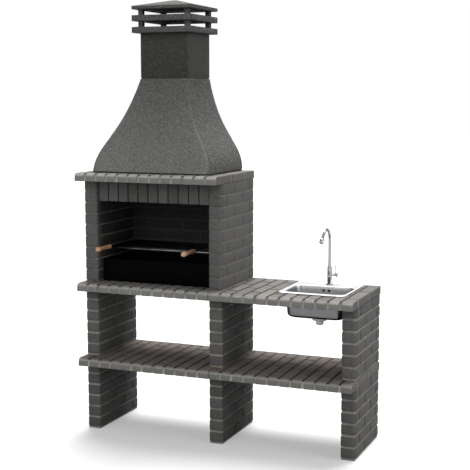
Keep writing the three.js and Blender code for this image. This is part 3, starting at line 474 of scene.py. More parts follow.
def rounded_boxes(boxes, radius, cells):
    """Boxes (n, 6) of low and high corners with rounded edges. A point is the nearest point of
    the inner box plus the radius times the unit direction out of it."""
    boxes = np.asarray(boxes, float).reshape(-1, 6)
    flats, turns, quads = brick_grid(cells)
    middle = (boxes[:, None, :3] + boxes[:, None, 3:]) / 2
    half = (boxes[:, None, 3:] - boxes[:, None, :3]) / 2
    round_by = np.minimum(radius, half.min(2, keepdims=True) * 0.98)
    out = turns / np.linalg.norm(turns, axis=1)[:, None]
    points = middle + flats[None] * (half - round_by) + round_by * out[None]
    count = len(flats)
    quads = (quads[None] + np.arange(len(boxes))[:, None, None] * count).reshape(-1, 4)
    return points.reshape(-1, 3), quads, np.zeros((0, 3), int)


def round_over(points, a, b, limit_a, limit_b, radius):
    """Rounds the edge where axis a meets limit_a and axis b meets limit_b: in the square of
    the radius at that edge, square rings about its inner corner become circles."""
    sign_a, sign_b = math.copysign(1, limit_a[1]), math.copysign(1, limit_b[1])
    away = np.stack([
        (points[:, a] - limit_a[0]) * sign_a + radius,
        (points[:, b] - limit_b[0]) * sign_b + radius,
    ], 1)
    inside = (away > 1e-6).all(1)
    near = away[inside]
    near *= (near.max(1) / np.linalg.norm(near, axis=1))[:, None]
    moved = points.copy()
    moved[inside, a] = limit_a[0] + sign_a * (near[:, 0] - radius)
    moved[inside, b] = limit_b[0] + sign_b * (near[:, 1] - radius)
    return moved


# Materials
def join(tree, value, socket):
    """Feeds a socket with another node's output or with a fixed value."""
    if isinstance(value, bpy.types.NodeSocket):
        tree.links.new(value, socket)
    else:
        socket.default_value = value


def add_node(tree, kind, inputs=(), **settings):
    """Adds one node, with its settings and its inputs as (socket, value or output) pairs."""
    made = tree.nodes.new(kind)
    for key, value in settings.items():
        setattr(made, key, value)
    for socket, value in inputs:
        join(tree, value, made.inputs[socket])
    return made


class Finish:
    """A procedural material: a Principled shader and short calls that add nodes before it.
    Its color is what has been laid so far, and each coat lays another colour over it."""

    def __init__(self, name, roughness=0.5, metallic=0.0, **sockets):
        self.material = bpy.data.materials.new(name)
        self.material.use_nodes = True
        self.tree = self.material.node_tree
        self.shader = self.tree.nodes["Principled BSDF"]
        self.shader.inputs["Roughness"].default_value = roughness
        self.shader.inputs["Metallic"].default_value = metallic
        for socket, value in sockets.items():
            self.shader.inputs[socket.replace("_", " ")].default_value = value
        self.where = self.node("ShaderNodeTexCoord").outputs["Object"]
        self.color = None

    def node(self, kind, inputs=(), **settings):
        """Adds one node to this material."""
        return add_node(self.tree, kind, inputs, **settings)

    def split(self, vector):
        """The X, Y and Z of a vector, by name."""
        return self.node("ShaderNodeSeparateXYZ", [("Vector", vector)]).outputs

    def facing(self):
        """The X, Y and Z of the direction that a face looks in."""
        return self.split(self.node("ShaderNodeNewGeometry").outputs["True Normal"])

    def drawn_out(self, scale):
        """Object coordinates multiplied by a scale on each axis."""
        return self.node("ShaderNodeMapping", [("Vector", self.where), ("Scale", scale)]).outputs[0]

    def noise(self, scale, detail=2.0, rough=0.5, where=None):
        """Fractal noise over object coordinates, scale in waves a metre."""
        pairs = [("Vector", where or self.where), ("Scale", scale), ("Detail", detail),
                 ("Roughness", rough)]
        return self.node("ShaderNodeTexNoise", pairs).outputs["Fac"]

    def cells(self, scale, output="Distance"):
        """Irregular cells, scale in cells a metre: the distance from a cell's middle or its colour."""
        pairs = [("Vector", self.where), ("Scale", scale)]
        return self.node("ShaderNodeTexVoronoi", pairs).outputs[output]

    def number(self, name):
        """The stored value of that name."""
        return self.node("ShaderNodeAttribute", attribute_name=name).outputs["Fac"]

    def span(self, value, low, high, to_low=0.0, to_high=1.0):
        """Moves a value from one range to another, held at both ends."""
        pairs = [("Value", value), ("From Min", low), ("From Max", high), ("To Min", to_low),
                 ("To Max", to_high)]
        return self.node("ShaderNodeMapRange", pairs).outputs["Result"]

    def combine(self, kind, a, b=0.0):
        """One value made of two by the named sum."""
        return self.node("ShaderNodeMath", [(0, a), (1, b)], operation=kind).outputs[0]

    def mix(self, share, a, b):
        """Colour a at share 0 and colour b at share 1."""
        pairs = [("Factor", share), ("A", a), ("B", b)]
        return self.node("ShaderNodeMix", pairs, data_type="RGBA").outputs["Result"]

    def coat(self, value, low, high, share, color):
        """Lays a colour over the last: none of it where the value is low, its share where high."""
        self.color = self.mix(self.span(value, low, high, 0.0, share), self.color, color)

    def ramp(self, value, stops):
        """Colours at places along a value."""
        made = self.node("ShaderNodeValToRGB", [("Fac", value)])
        band = made.color_ramp
        while len(band.elements) < len(stops):
            band.elements.new(1.0)
        for element, (at, color) in zip(band.elements, stops):
            element.position = at
            element.color = color
        return made.outputs["Color"]

    def bump(self, height, distance, strength=1.0, after=None):
        """A bump whose height of 1 stands for the distance in metres."""
        pairs = [("Height", height), ("Distance", distance), ("Strength", strength)]
        if after is not None:
            pairs.append(("Normal", after))
        return self.node("ShaderNodeBump", pairs).outputs["Normal"]

    def done(self, roughness=None, normal=None):
        """Joins the colour, and the roughness and bump if given, to the shader."""
        for socket, value in (("Base Color", self.color), ("Roughness", roughness), ("Normal", normal)):
            if value is not None:
                join(self.tree, value, self.shader.inputs[socket])
        return self.material


def tint(red, green, blue):
    """A shown colour from 0 to 255 as the linear one that a shader takes."""
    return (*[((part / 255 + 0.055) / 1.055) ** 2.4 for part in (red, green, blue)], 1.0)


def firebox_shade(f):
    """Share of painted shade in the firebox: full inside it between its walls and behind the
    lintel, fading in over a few millimetres at its mouth and above the hearth, with uneven edges."""
    at = f.split(f.where)
    wander = f.span(f.noise(9, 3, 0.6), 0.3, 0.7, -0.03, 0.03)
    behind = f.span(at["Z"], *metres(2, LINTEL_LOW - 4.5, LINTEL_LOW - 0.5), 0.0, -0.088)
    depth = f.combine("ADD", f.combine("ADD", at["Y"], wander), behind)
    share = f.span(at["X"], *metres(0, WALL - 5.0, WALL - 2.5))
    for limit in (
        f.span(at["X"], *metres(0, MIDDLE + 4.5, MIDDLE + 2.0)),
        f.span(depth, *metres(1, -0.5, 46.5)),
        f.span(at["Z"], *metres(2, WORKTOP_TOP - 2.0, WORKTOP_TOP + 2.0)),
        f.span(at["Z"], *metres(2, MANTEL - 0.5, MANTEL - 1.5)),
        f.span(at["Y"], *metres(1, DEPTH - 23.5, DEPTH - 33.5)),
    ):
        share = f.combine("MULTIPLY", share, limit)
    return share


def brick_finish(name, share, toward, painted_front_light=0.0):
    """Each brick takes a tone along a band of slate, green and plum greys, moved by a share
    toward another. Noise of three sizes blotches it, painted light pales its face and nose,
    painted shade darkens its sides, it darkens towards its foot, its top is worn brown in
    patches and painted paler where it faces up, fine grains speckle it, painted shade darkens
    its edges at the joints and the firebox, and the bumps give a split, sandy face."""
    f = Finish(name, 0.88, 0.0, Specular_IOR_Level=0.25)
    tone, facing = f.number("tone"), f.facing()
    height = f.split(f.where)["Z"]
    blotch, coarse, grain = f.noise(14, 4, 0.6), f.noise(120, 2, 0.6), f.noise(620, 2, 0.6)
    nose = f.combine("MULTIPLY", facing["Y"], facing["Z"])
    worn = f.combine("MULTIPLY", f.span(f.noise(6, 3, 0.6), 0.45, 0.65),
                     f.span(facing["Z"], 0.5, 0.9))
    stored = f.combine("MULTIPLY", f.span(height, *STORED), f.span(facing["Z"], 0.6, 0.9))
    f.color = f.ramp(tone, [
        (0.0, tint(88, 89, 90)), (0.22, tint(107, 107, 106)), (0.45, tint(96, 94, 95)),
        (0.7, tint(111, 110, 108)), (1.0, tint(92, 91, 89)),
    ])
    f.color = f.mix(f.span(tone, 0.0, 1.0, share * 0.3, share * 1.7), f.color, toward)
    f.coat(blotch, 0.4, 0.72, 0.4, tint(118, 117, 114))
    f.coat(coarse, 0.54, 0.7, 0.35, tint(132, 130, 127))
    f.coat(coarse, 0.5, 0.3, 0.4, tint(55, 54, 54))
    f.coat(f.noise(38, 3, 0.6), 0.5, 0.75, 0.4, tint(74, 73, 73))
    # painted light: faces that look to the front and the rounded nose are made paler
    f.coat(facing["Y"], -0.3, -0.8, painted_front_light, tint(154, 154, 153))
    f.coat(nose, -0.15, -0.42, painted_front_light * 1.3, tint(186, 185, 183))
    # painted shade: faces that look along X are darkened
    f.coat(f.combine("ABSOLUTE", facing["X"]), 0.5, 0.9, 0.5, tint(64, 63, 62))
    # darker towards the bottom
    f.coat(height, *LOW_DARKENING, 0.45, tint(62, 62, 61))
    f.coat(worn, 0.0, 1.0, 0.45, tint(92, 80, 73))
    f.coat(stored, 0.0, 1.0, 0.5, tint(98, 80, 70))
    # painted light: faces that look up are made paler
    f.coat(facing["Z"], 0.3, 0.95, 0.2, tint(121, 115, 109))
    f.coat(grain, 0.56, 0.72, 0.55, tint(135, 133, 128))
    f.coat(grain, 0.4, 0.28, 0.65, tint(42, 42, 42))
    # painted shade: brick edges at the joints are darkened
    f.coat(f.number("edge"), 0.45, 1.45, 1.0, tint(45, 45, 44))
    # painted shade: the firebox inside and behind the lintel is darkened
    f.coat(firebox_shade(f), 0.0, 1.0, 0.9, tint(22, 21, 20))
    normal = f.bump(grain, 0.0010, 0.7, f.bump(f.noise(45, 4, 0.62), 0.0035, 0.8))
    return f.done(f.span(blotch, 0.3, 0.7, 0.8, 0.95), normal)


def mortar_finish(name, light, dark, patchy=0.0, firebox_shade_tone=tint(20, 20, 19)):
    """Sandy mortar between two tones, darker where it was wetter, greyed in patches, with
    fine grains, and its own tone under the painted shade of the firebox."""
    f = Finish(name, 0.94, 0.0, Specular_IOR_Level=0.2)
    sand = f.noise(900, 2, 0.7)
    f.color = dark
    f.coat(f.noise(22, 4, 0.6), 0.3, 0.7, 1.0, light)
    f.coat(f.noise(8, 3, 0.6), 0.48, 0.62, patchy, tint(100, 99, 95))
    f.coat(sand, 0.5, 0.75, 0.4, tint(150, 147, 136))
    f.coat(sand, 0.45, 0.3, 0.5, tint(63, 60, 53))
    # painted shade inside the firebox, in this mortar's own tone
    f.coat(firebox_shade(f), 0.0, 1.0, 0.96, firebox_shade_tone)
    return f.done(None, f.bump(sand, 0.0008, 0.8, f.bump(f.noise(70, 3, 0.6), 0.002, 0.7)))


def concrete_finish(name, middle, pale, deep, side_shade):
    """Granular cast concrete: crushed stone cells of uneven tone in a darker paste, with
    pinholes, a slow drift of tone, painted light on what faces up, painted shade towards the
    top and underneath, and painted shade on the sides."""
    f = Finish(name, 0.93, 0.0, Specular_IOR_Level=0.22)
    facing = f.facing()
    mottle, fine = f.noise(110, 2, 0.5), f.noise(780, 2, 0.65)
    tone = f.node("ShaderNodeSeparateColor", [("Color", f.cells(260, "Color"))]).outputs["Red"]
    f.color = middle
    f.coat(f.noise(5, 3, 0.55), 0.3, 0.7, 0.5, deep)
    # painted light: faces that look up are made paler
    f.coat(facing["Z"], 0.05, 0.7, 0.3, pale)
    # painted shade: darker towards the top, full on the flue
    f.coat(f.split(f.where)["Z"], *TOP_SHADE, 0.9, deep)
    # painted shade: faces that look along X are darkened
    f.coat(f.combine("ABSOLUTE", facing["X"]), 0.3, 0.8, 0.85, side_shade)
    f.coat(mottle, 0.52, 0.7, 0.2, pale)
    f.coat(mottle, 0.48, 0.32, 0.35, deep)
    f.coat(tone, 0.6, 1.0, 0.42, pale)
    f.coat(tone, 0.3, 0.0, 0.6, deep)
    f.coat(fine, 0.55, 0.75, 0.5, pale)
    f.coat(fine, 0.42, 0.28, 0.75, tint(19, 19, 19))
    # painted shade: faces that look down are made nearly black
    f.coat(facing["Z"], -0.3, -0.8, 0.8, tint(14, 14, 14))
    normal = f.bump(fine, 0.0010, 0.6, f.bump(f.cells(260), 0.0012, 0.55))
    return f.done(f.span(tone, 0.0, 1.0, 0.86, 0.97), normal)


def black_steel_finish():
    """Heat-proof black paint, burnt matt in patches, with a fine orange-peel bump."""
    f = Finish("black_steel", 0.62, 0.0, Specular_IOR_Level=0.02)
    burnt = f.noise(11, 4, 0.6)
    f.color = tint(2, 2, 2)
    f.coat(burnt, 0.4, 0.7, 1.0, tint(6, 6, 6))
    f.coat(f.noise(160, 2, 0.6), 0.6, 0.75, 0.4, tint(12, 11, 11))
    return f.done(f.span(burnt, 0.3, 0.7, 0.5, 0.78), f.bump(f.noise(420, 2, 0.5), 0.0004, 0.5))


def wire_finish(name, bright, dull):
    """Drawn steel rod: bright metal that heat and use have dulled in patches."""
    f = Finish(name, 0.3, 1.0, Specular_Tint=(0.35, 0.35, 0.36, 1.0))
    worn = f.noise(26, 4, 0.6)
    f.color = bright
    f.coat(worn, 0.42, 0.7, 1.0, dull)
    return f.done(f.span(worn, 0.35, 0.7, 0.2, 0.42), f.bump(f.noise(900, 2, 0.5), 0.0001, 0.4))


def wood_finish():
    """Varnished turned beech: long bands and fibres drawn out along the handle, short dark
    flecks, and a thin clear coat."""
    f = Finish("turned_wood", 0.38, 0.0, Coat_Weight=0.35, Coat_Roughness=0.2)
    along = f.drawn_out((1.0, 0.06, 1.0))
    grain = f.noise(190, 4, 0.6, along)
    bands = f.node("ShaderNodeTexWave", [
        ("Vector", along), ("Scale", 60.0), ("Distortion", 6.0), ("Detail", 2.0),
    ], bands_direction="DIAGONAL").outputs["Fac"]
    f.color = tint(201, 152, 114)
    f.coat(bands, 0.2, 0.9, 1.0, tint(209, 173, 140))
    f.coat(grain, 0.5, 0.72, 0.6, tint(140, 81, 43))
    f.coat(f.noise(700, 2, 0.6, along), 0.62, 0.72, 0.5, tint(111, 60, 30))
    return f.done(f.span(grain, 0.3, 0.7, 0.32, 0.48), f.bump(grain, 0.0003, 0.5))


def brushed_steel_finish(name, bright, dull, cloudy, bend=None):
    """Satin pressed steel: fine brushing along X drawn out of noise, soft cloudy wear, a
    polished rim whose bead is painted near white as a highlight and, on the outside, a painted
    dark reflection round the bend between two heights."""
    f = Finish(name, 0.3, 1.0)
    lines = f.noise(1500, 3, 0.6, f.drawn_out((0.03, 1.0, 1.0)))
    cloud = f.noise(18, 3, 0.5)
    height = f.split(f.where)["Z"]
    f.color = dull
    f.coat(lines, 0.35, 0.65, 1.0, bright)
    f.coat(cloud, 0.4, 0.7, 0.3, cloudy)
    # polished rim: the ledge lighter, its raised bead near white, a painted highlight
    f.coat(height, *metres(2, RIM_TOP - 3.6, RIM_TOP - 1.4), 1.0, tint(214, 215, 216))
    f.coat(height, *metres(2, RIM_TOP + 0.4, RIM_TOP + 2.2), 1.0, tint(246, 246, 246))
    # painted reflection: a dark band round the outside bend, standing for dark surroundings
    if bend:
        f.coat(height, *bend, 1.0, tint(16, 16, 16))
    return f.done(f.span(cloud, 0.3, 0.7, 0.24, 0.36), f.bump(lines, 0.00008, 0.6))


def chrome_finish():
    """Polished chrome: nearly a mirror, darker towards its outline, with faint water marks."""
    f = Finish("polished_chrome", 0.07, 1.0, Specular_Tint=(0.4, 0.4, 0.41, 1.0))
    marks = f.noise(60, 4, 0.6)
    f.color = tint(152, 154, 156)
    f.coat(marks, 0.45, 0.75, 0.5, tint(130, 132, 134))
    return f.done(f.span(marks, 0.45, 0.75, 0.05, 0.12))


def moulded_finish(name, color, deep, roughness):
    """Moulded plastic or rubber: an even colour with slight cloudiness and a fine matt skin."""
    f = Finish(name, roughness, 0.0)
    f.color = color
    f.coat(f.noise(30, 3, 0.5), 0.35, 0.7, 1.0, deep)
    return f.done(None, f.bump(f.noise(1200, 2, 0.5), 0.0001, 0.4))


def brass_finish():
    """Turned brass with a fine tooled skin and a brown tarnish in patches."""
    f = Finish("turned_brass", 0.35, 1.0)
    f.color = tint(196, 164, 98)
    f.coat(f.noise(80, 3, 0.6), 0.45, 0.7, 1.0, tint(146, 112, 60))
    return f.done(None, f.bump(f.noise(2200, 2, 0.5), 0.0001, 0.5))


BRICK_FINISH = brick_finish("brick", 0.1, tint(69, 68, 67))
# slab bricks, with painted light on their front faces and noses
PAVING_FINISH = brick_finish("paving_brick", 0.46, tint(146, 143, 139), 0.55)
LINTEL_FINISH = brick_finish("lintel_brick", 0.35, tint(66, 66, 66))
FIREBOX_FINISH = brick_finish("firebox_brick", 0.02, tint(69, 68, 67))
MORTAR_FINISH = mortar_finish("joint_mortar", tint(167, 165, 155), tint(141, 139, 131), 0.5)
# a darker copy of the joint mortar: painted shade for sides, tops and bottoms
SHADED_FINISH = mortar_finish("side_shaded_mortar", tint(161, 159, 151), tint(135, 133, 126), 0.5)
QUIET_FINISH = mortar_finish("quiet_mortar", tint(134, 132, 121), tint(106, 105, 98))
FASCIA_FINISH = mortar_finish("fascia_mortar", tint(191, 189, 174), tint(164, 162, 146), 0.6)
GROOVE_FINISH = mortar_finish("groove_mortar", tint(38, 36, 35), tint(24, 23, 22))
# the back wall's mortar, lighter under the firebox's painted shade
SHADED_BACK_FINISH = mortar_finish("shaded_back_mortar", tint(107, 105, 99), tint(81, 81, 77),
                              firebox_shade_tone=tint(53, 53, 49))
ROW_FINISH = mortar_finish("row_mortar", tint(66, 64, 60), tint(46, 45, 43))
BED_FINISH = mortar_finish("bed_mortar", tint(78, 78, 72), tint(55, 54, 51))
HOOD_FINISH = concrete_finish("hood_concrete", tint(114, 114, 111), tint(166, 165, 161),
                              tint(76, 76, 75), tint(34, 34, 33))
# a darker copy of the hood's concrete: painted shade on the flue
FLUE_FINISH = concrete_finish("flue_concrete", tint(87, 87, 84), tint(116, 115, 112),
                              tint(52, 52, 50), tint(50, 50, 49))
STEEL_BLACK = black_steel_finish()
WIRE_BRIGHT = wire_finish("chromed_wire", tint(112, 112, 112), tint(86, 85, 84))
# a darker copy of the wire: painted shade and dark reflections inside the firebox
WIRE_SHADED = wire_finish("shaded_wire", tint(50, 50, 49), tint(30, 29, 28))
WOOD = wood_finish()
SATIN = brushed_steel_finish("satin_steel", tint(178, 179, 180), tint(154, 155, 156),
                             tint(142, 143, 144))
# a darker copy of the satin steel: painted shade and dark reflections on the bowl's underside
SATIN_SHADED = brushed_steel_finish("satin_steel_shaded", tint(108, 109, 110), tint(90, 91, 92),
                                  tint(84, 85, 86), metres(2, BOWL_FLOOR + 13, BOWL_FLOOR + 7))
CHROME = chrome_finish()
WASTE_WHITE = moulded_finish("waste_white", tint(248, 248, 246), tint(240, 240, 237), 0.42)
RUBBER = moulded_finish("black_rubber", tint(30, 30, 30), tint(42, 41, 40), 0.75)
BRASS = brass_finish()


# Brickwork
# The mortar of a panel's front and back, of its sides, and of its top and bottom: the last two take a
# darker copy, painted shade
JOINTS = (MORTAR_FINISH, SHADED_FINISH, SHADED_FINISH)


def split_at(joints, low, high, gap=JOINT, shortest=20):
    """Spans between joints that lie in a length, each joint taking its width away."""
    cuts = [joint for joint in sorted(joints) if low + shortest < joint < high - shortest]
    starts = [low] + [joint + gap / 2 for joint in cuts]
    ends = [joint - gap / 2 for joint in cuts] + [high]
    return list(zip(starts, ends))


def settle(boxes, chance, inset=0.6, level=0.7):
    """Every brick laid by hand: its faces drawn in by small random amounts."""
    boxes = np.asarray(boxes, float)
    draw = np.array([inset, inset, level])
    boxes[:, :3] += chance.uniform(0, 1, (len(boxes), 3)) * draw
    boxes[:, 3:] -= chance.uniform(0, 1, (len(boxes), 3)) * draw
    return boxes


def rough_bricks(boxes, radius, cells, seed, edge_axes):
    """Rounded boxes pulled in along their own faces by smooth noise, and for each point whether
    it lies on an edge along the named axes, away from the panel's front and back."""
    points, quads, _ = rounded_boxes(boxes, radius, cells)
    count = len(points) // len(boxes)
    middle = np.repeat((boxes[:, :3] + boxes[:, 3:]) / 2, count, 0)
    half = np.repeat((boxes[:, 3:] - boxes[:, :3]) / 2, count, 0)
    outward = (points - middle) / half
    strongest = np.abs(outward).max(1, keepdims=True)
    weight = np.sign(outward) * np.clip((np.abs(outward) / strongest - 0.9) * 10, 0, 1)
    which = np.repeat(np.arange(len(boxes)), count)
    long_waves, short_waves = SWELL_WAVES
    swell = ripple(points + which[:, None] * 37.0, long_waves, seed)
    swell = swell + 0.6 * ripple(points, short_waves, seed + 1)
    points = points - weight * np.clip(0.5 + 0.5 * swell, 0, None)[:, None] * SWELL
    border = np.abs(points - middle) > half - radius * 0.9
    y = points[:, 1]
    inside = (y > y.min() + FACE_BAND) & (y < y.max() - FACE_BAND)
    return points, quads, (border.sum(1) > 1) & border[:, edge_axes].any(1) & inside


def masonry(name, boxes, core, seed, cells, edges=(), radius=4.0, joints=JOINTS,
            bricks=BRICK_FINISH, edge_axes=(1, 2), edge_stain=0.6):
    """A panel of bricks on its mortar core, its own edges rounded over. Each brick takes a
    tone, the edges between its bricks painted shade, and each face of the core a joint's mortar."""
    chance = np.random.default_rng(seed)
    boxes = settle(boxes, chance)
    points, quads, at_edge = rough_bricks(boxes, radius, cells, seed, edge_axes)
    core_points, core_quads, none = rounded_boxes(core, 0.6, (1, 1, 1))
    for a, b, limit_a, limit_b, size in edges:
        points = round_over(points, a, b, limit_a, limit_b, size)
        shift_a = (limit_a[0] - math.copysign(CORE_INSET, limit_a[1]), limit_a[1])
        shift_b = (limit_b[0] - math.copysign(CORE_INSET, limit_b[1]), limit_b[1])
        core_points = round_over(core_points, a, b, shift_a, shift_b, size)
    form = stack([(points, quads, none), (core_points, core_quads, none)])
    piece = add_piece(f"{name}_brickwork", "root", [bricks, *joints], form, [name], 50)
    tones = np.repeat(chance.uniform(0, 1, len(boxes)), len(points) // len(boxes))
    plain = np.zeros(len(core_points))
    set_values(piece, "tone", np.concatenate([tones, plain]))
    set_values(piece, "edge", np.concatenate([at_edge * edge_stain, plain]))
    direction = np.abs(face_values(piece, "normal")[len(quads):])
    finish = np.where(direction[:, 2] > 0.8, 3, np.where(direction[:, 0] > 0.8, 2, 1))
    set_finish(piece, np.concatenate([np.zeros(len(quads), int), finish]))


def course_joints(row):
    """Joint places of a pier course, mirrored front to back on every other course."""
    joints = [FIRST_JOINT, FIRST_JOINT + BRICK]
    return joints if row % 2 == 0 else [DEPTH - y for y in joints]


def pier(name, x, level, courses, seed, gap=JOINT, bed=BED, **looks):
    """A pier or side wall: through bricks in running bond on a core, its posts rounded over."""
    boxes = [
        (x, y0, level + row * COURSE + bed, x + WALL, y1, level + (row + 1) * COURSE)
        for row in range(courses)
        for y0, y1 in split_at(course_joints(row), 0, DEPTH, gap)
    ]
    top = level + courses * COURSE
    core = [(x + CORE_INSET, CORE_INSET, level + SEAT * (level > 0),
             x + WALL - CORE_INSET, DEPTH - CORE_INSET, top - CORE_DROP)]
    edges = [(0, 1, side, end, CORNER)
             for side in ((x, -1), (x + WALL, 1)) for end in ((0, -1), (DEPTH, 1))]
    masonry(name, boxes, core, seed, (5, 12, 3), edges, **looks)


for number, (side, x) in enumerate((("left", 0.0), ("middle", MIDDLE), ("right", RIGHT))):
    pier(f"{side}_pier_lower", x, 0.0, PIER_COURSES, seed=11 + number)
    pier(f"{side}_pier_upper", x, SHELF_TOP, PIER_COURSES, seed=21 + number)
for side, x, seed in (("left", 0.0, 31), ("right", MIDDLE, 32)):
    pier(f"firebox_{side}_wall", x, WORKTOP_TOP, WALL_COURSES, seed, FIREBOX_JOINT, FIREBOX_BED,
         joints=(QUIET_FINISH,) * 3, bricks=FIREBOX_FINISH, edge_stain=0.3)


def back_wall():
    """Courses along X between the side walls, shifted by half a brick on every other one."""
    x0, x1, y0 = WALL + SEAT, MIDDLE - SEAT, INNER_BACK
    boxes = []
    for row in range(WALL_COURSES):
        first = WALL + (BRICK / 2 if row % 2 == 0 else BRICK)
        z = WORKTOP_TOP + row * COURSE
        for a, b in split_at(np.arange(first, MIDDLE - JOINT, BRICK), x0, x1):
            boxes.append((a, y0, z + BED, b, DEPTH, z + COURSE))
    core = [(x0, y0 + CORE_INSET, WORKTOP_TOP + SEAT, x1, DEPTH - CORE_INSET, MANTEL - CORE_DROP)]
    masonry("firebox_back_wall", boxes, core, 33, (12, 3, 3), joints=(SHADED_BACK_FINISH,) * 3)


def lintel():
    """Upright bricks side by side across the firebox mouth."""
    x0, x1 = WALL + SEAT, MIDDLE - SEAT
    gap, inset = LINTEL_GROOVE / 2, LINTEL_CORE_INSET
    edges = np.linspace(x0, x1, LINTEL_BRICKS + 1)
    boxes = [(a + gap, LINTEL_SETBACK, LINTEL_LOW, b - gap, LINTEL_BACK, MANTEL)
             for a, b in zip(edges[:-1], edges[1:])]
    core = [(x0, LINTEL_SETBACK + inset, LINTEL_LOW + inset,
             x1, LINTEL_BACK - inset, MANTEL - CORE_DROP)]
    masonry("lintel", boxes, core, 34, (3, 5, 6), radius=3.0, joints=(GROOVE_FINISH,) * 3,
            bricks=LINTEL_FINISH)


back_wall()
lintel()


def take_out(spans, opening, edge=1.0, smallest=8):
    """Cuts bricks (x0, x1, y0, y1) round a rectangle: in front of it, behind it, beside it."""
    ox0, ox1, oy0, oy1 = opening
    left = []
    for x0, x1, y0, y1 in spans:
        if x1 <= ox0 or x0 >= ox1 or y1 <= oy0 or y0 >= oy1:
            left.append((x0, x1, y0, y1))
            continue
        if y0 < oy0:
            left.append((x0, x1, y0, oy0 - edge))
        if y1 > oy1:
            left.append((x0, x1, oy1 + edge, y1))
        low, high = max(y0, oy0), min(y1, oy1)
        if x0 < ox0:
            left.append((x0, ox0 - edge, low, high))
        if x1 > ox1:
            left.append((ox1 + edge, x1, low, high))
    return [span for span in left if min(span[1] - span[0], span[3] - span[2]) > smallest]


def slab(name, x0, x1, level, nose, rows, seed, opening=None, end_mortar=SHADED_FINISH):
    """A slab faced with rows of bricks laid front to back, the joints across them staggered,
    over a core that is drawn in at the top and front. Its front upper edge is rounded."""
    edges = np.linspace(x0, x1, rows + 1)
    spans = []
    for row, (a, b) in enumerate(zip(edges[:-1], edges[1:])):
        first = -nose + (BRICK if row % 2 == 0 else BRICK / 2)
        left = a + (ROW_JOINT / 2 if row else 0.0)
        right = b - (ROW_JOINT / 2 if row < rows - 1 else 0.0)
        for y0, y1 in split_at([first + k * BRICK for k in range(3)], -nose, DEPTH, CROSS_JOINT):
            spans.append((left, right, y0, y1))
    top = level + SLAB
    ends = (x0 + CORE_INSET, x1 - CORE_INSET)
    front, back = SLAB_CORE["front"] - nose, DEPTH - CORE_INSET
    areas = [(*ends, front, back)]
    if opening:
        spans = take_out(spans, opening)
        a, b, c, d = opening
        areas = [(*ends, front, c), (*ends, d, back), (ends[0], a, c, d), (b, ends[1], c, d)]
    core_low, core_top = level + SLAB_CORE["low"], top - SLAB_CORE["top"]
    boxes = [(a, c, level + SLAB_BRICK_LOW, b, d, top) for a, b, c, d in spans]
    core = [(a, c, core_low, b, d, core_top) for a, b, c, d in areas]
    nosing = [(1, 2, (-nose, -1), (top, 1), NOSE_RADIUS)]
    masonry(name, boxes, core, seed, (3, 10, 3), nosing, radius=3.4,
            joints=(FASCIA_FINISH, end_mortar, ROW_FINISH), bricks=PAVING_FINISH,
            edge_axes=(1,), edge_stain=1.4)


LEFT_HALF = (-OVERHANG, SEAM - SEAT / 2)
RIGHT_HALF = (SEAM + SEAT / 2, WIDTH)
slab("shelf_slab_left", *LEFT_HALF, SHELF, NOSE, SLAB_ROWS, seed=41)
slab("shelf_slab_right", *RIGHT_HALF, SHELF, NOSE, SLAB_ROWS, seed=42)
slab("hearth_slab", *LEFT_HALF, WORKTOP, NOSE, SLAB_ROWS, seed=43)
slab("sink_worktop", *RIGHT_HALF, WORKTOP, NOSE, SLAB_ROWS, seed=44, opening=SINK_OPENING)
slab("mantel_slab", -OVERHANG, MIDDLE + WALL, MANTEL, MANTEL_NOSE, MANTEL_ROWS, seed=45,
     opening=FLUE_OPENING, end_mortar=QUIET_FINISH)


# Hood, flue and cap
def add_casting(node, forms, finish=HOOD_FINISH, ending="block"):
    """One concrete casting made of closed bodies, in its node's place."""
    add_piece(f"{node}_{ending}", "root", [finish], stack(forms), [node], 40)


def hood():
    """Rounded rectangles on cubic curves: half width, front and height each follow four
    control values, and the corner radius falls evenly. The inside lies one wall in."""
    share = np.concatenate([[0, 0.004], np.linspace(0.012, 0.992, 60), [0.997, 1]])
    weights = np.stack([(1 - share) ** 3, 3 * share * (1 - share) ** 2,
                        3 * share ** 2 * (1 - share), share ** 3], 1)
    half, front, rise = (weights @ np.array(v) for v in (HOOD_HALVES, HOOD_FRONTS, HOOD_RISES))
    corner = HOOD_CORNERS[0] + (HOOD_CORNERS[1] - HOOD_CORNERS[0]) * share
    soft = np.zeros_like(share)
    soft[[0, -1]] = 1.6, 0.4
    outer, inner = (
        rounded_rings((HOOD_X - half, HOOD_X + half, front, DEPTH), inset, corner,
                      HOOD_Z + SEAT + rise, 6, 8)
        for inset in (soft, HOOD_WALL)
    )
    return tube(np.concatenate([outer, inner[::-1]]), closed=True)


def square_tube(half, z0, z1, corner, soft=2.0):
    """An upright square tube: rounded squares with softened ends outside, plain inside."""
    inset = np.array([soft, 0.6, 0, 0, 0.6, soft])
    z = np.array([z0, z0 + 0.6, z0 + soft, z1 - soft, z1 - 0.6, z1])
    inner_z = np.array([z0, z0 + 0.1, z0 + 0.2, z1 - 0.2, z1 - 0.1, z1])
    outer = square_rings(FLUE_CENTRE, half - inset, corner, z, 4, 6)
    inner = square_rings(FLUE_CENTRE, FLUE_BORE, corner, inner_z, 4, 6)
    return tube(np.concatenate([outer, inner[::-1]]), closed=True)


def cap_ring(z0):
    """One square ring of the cap."""
    return square_tube(CAP_HALF, z0, z0 + RING - 0.3, 4.0)


def cap_feet(level):
    """Four square feet, each inset from a corner of the cap."""
    half = FOOT / 2
    reach = CAP_HALF - FOOT_INSET - half
    boxes = [
        (x - half, y - half, level, x + half, y + half, level + FOOT_HEIGHT + 2)
        for x in (HOOD_X - reach, HOOD_X + reach)
        for y in (FLUE_Y - reach, FLUE_Y + reach)
    ]
    return rounded_boxes(boxes, 2.5, (2, 2, 2))


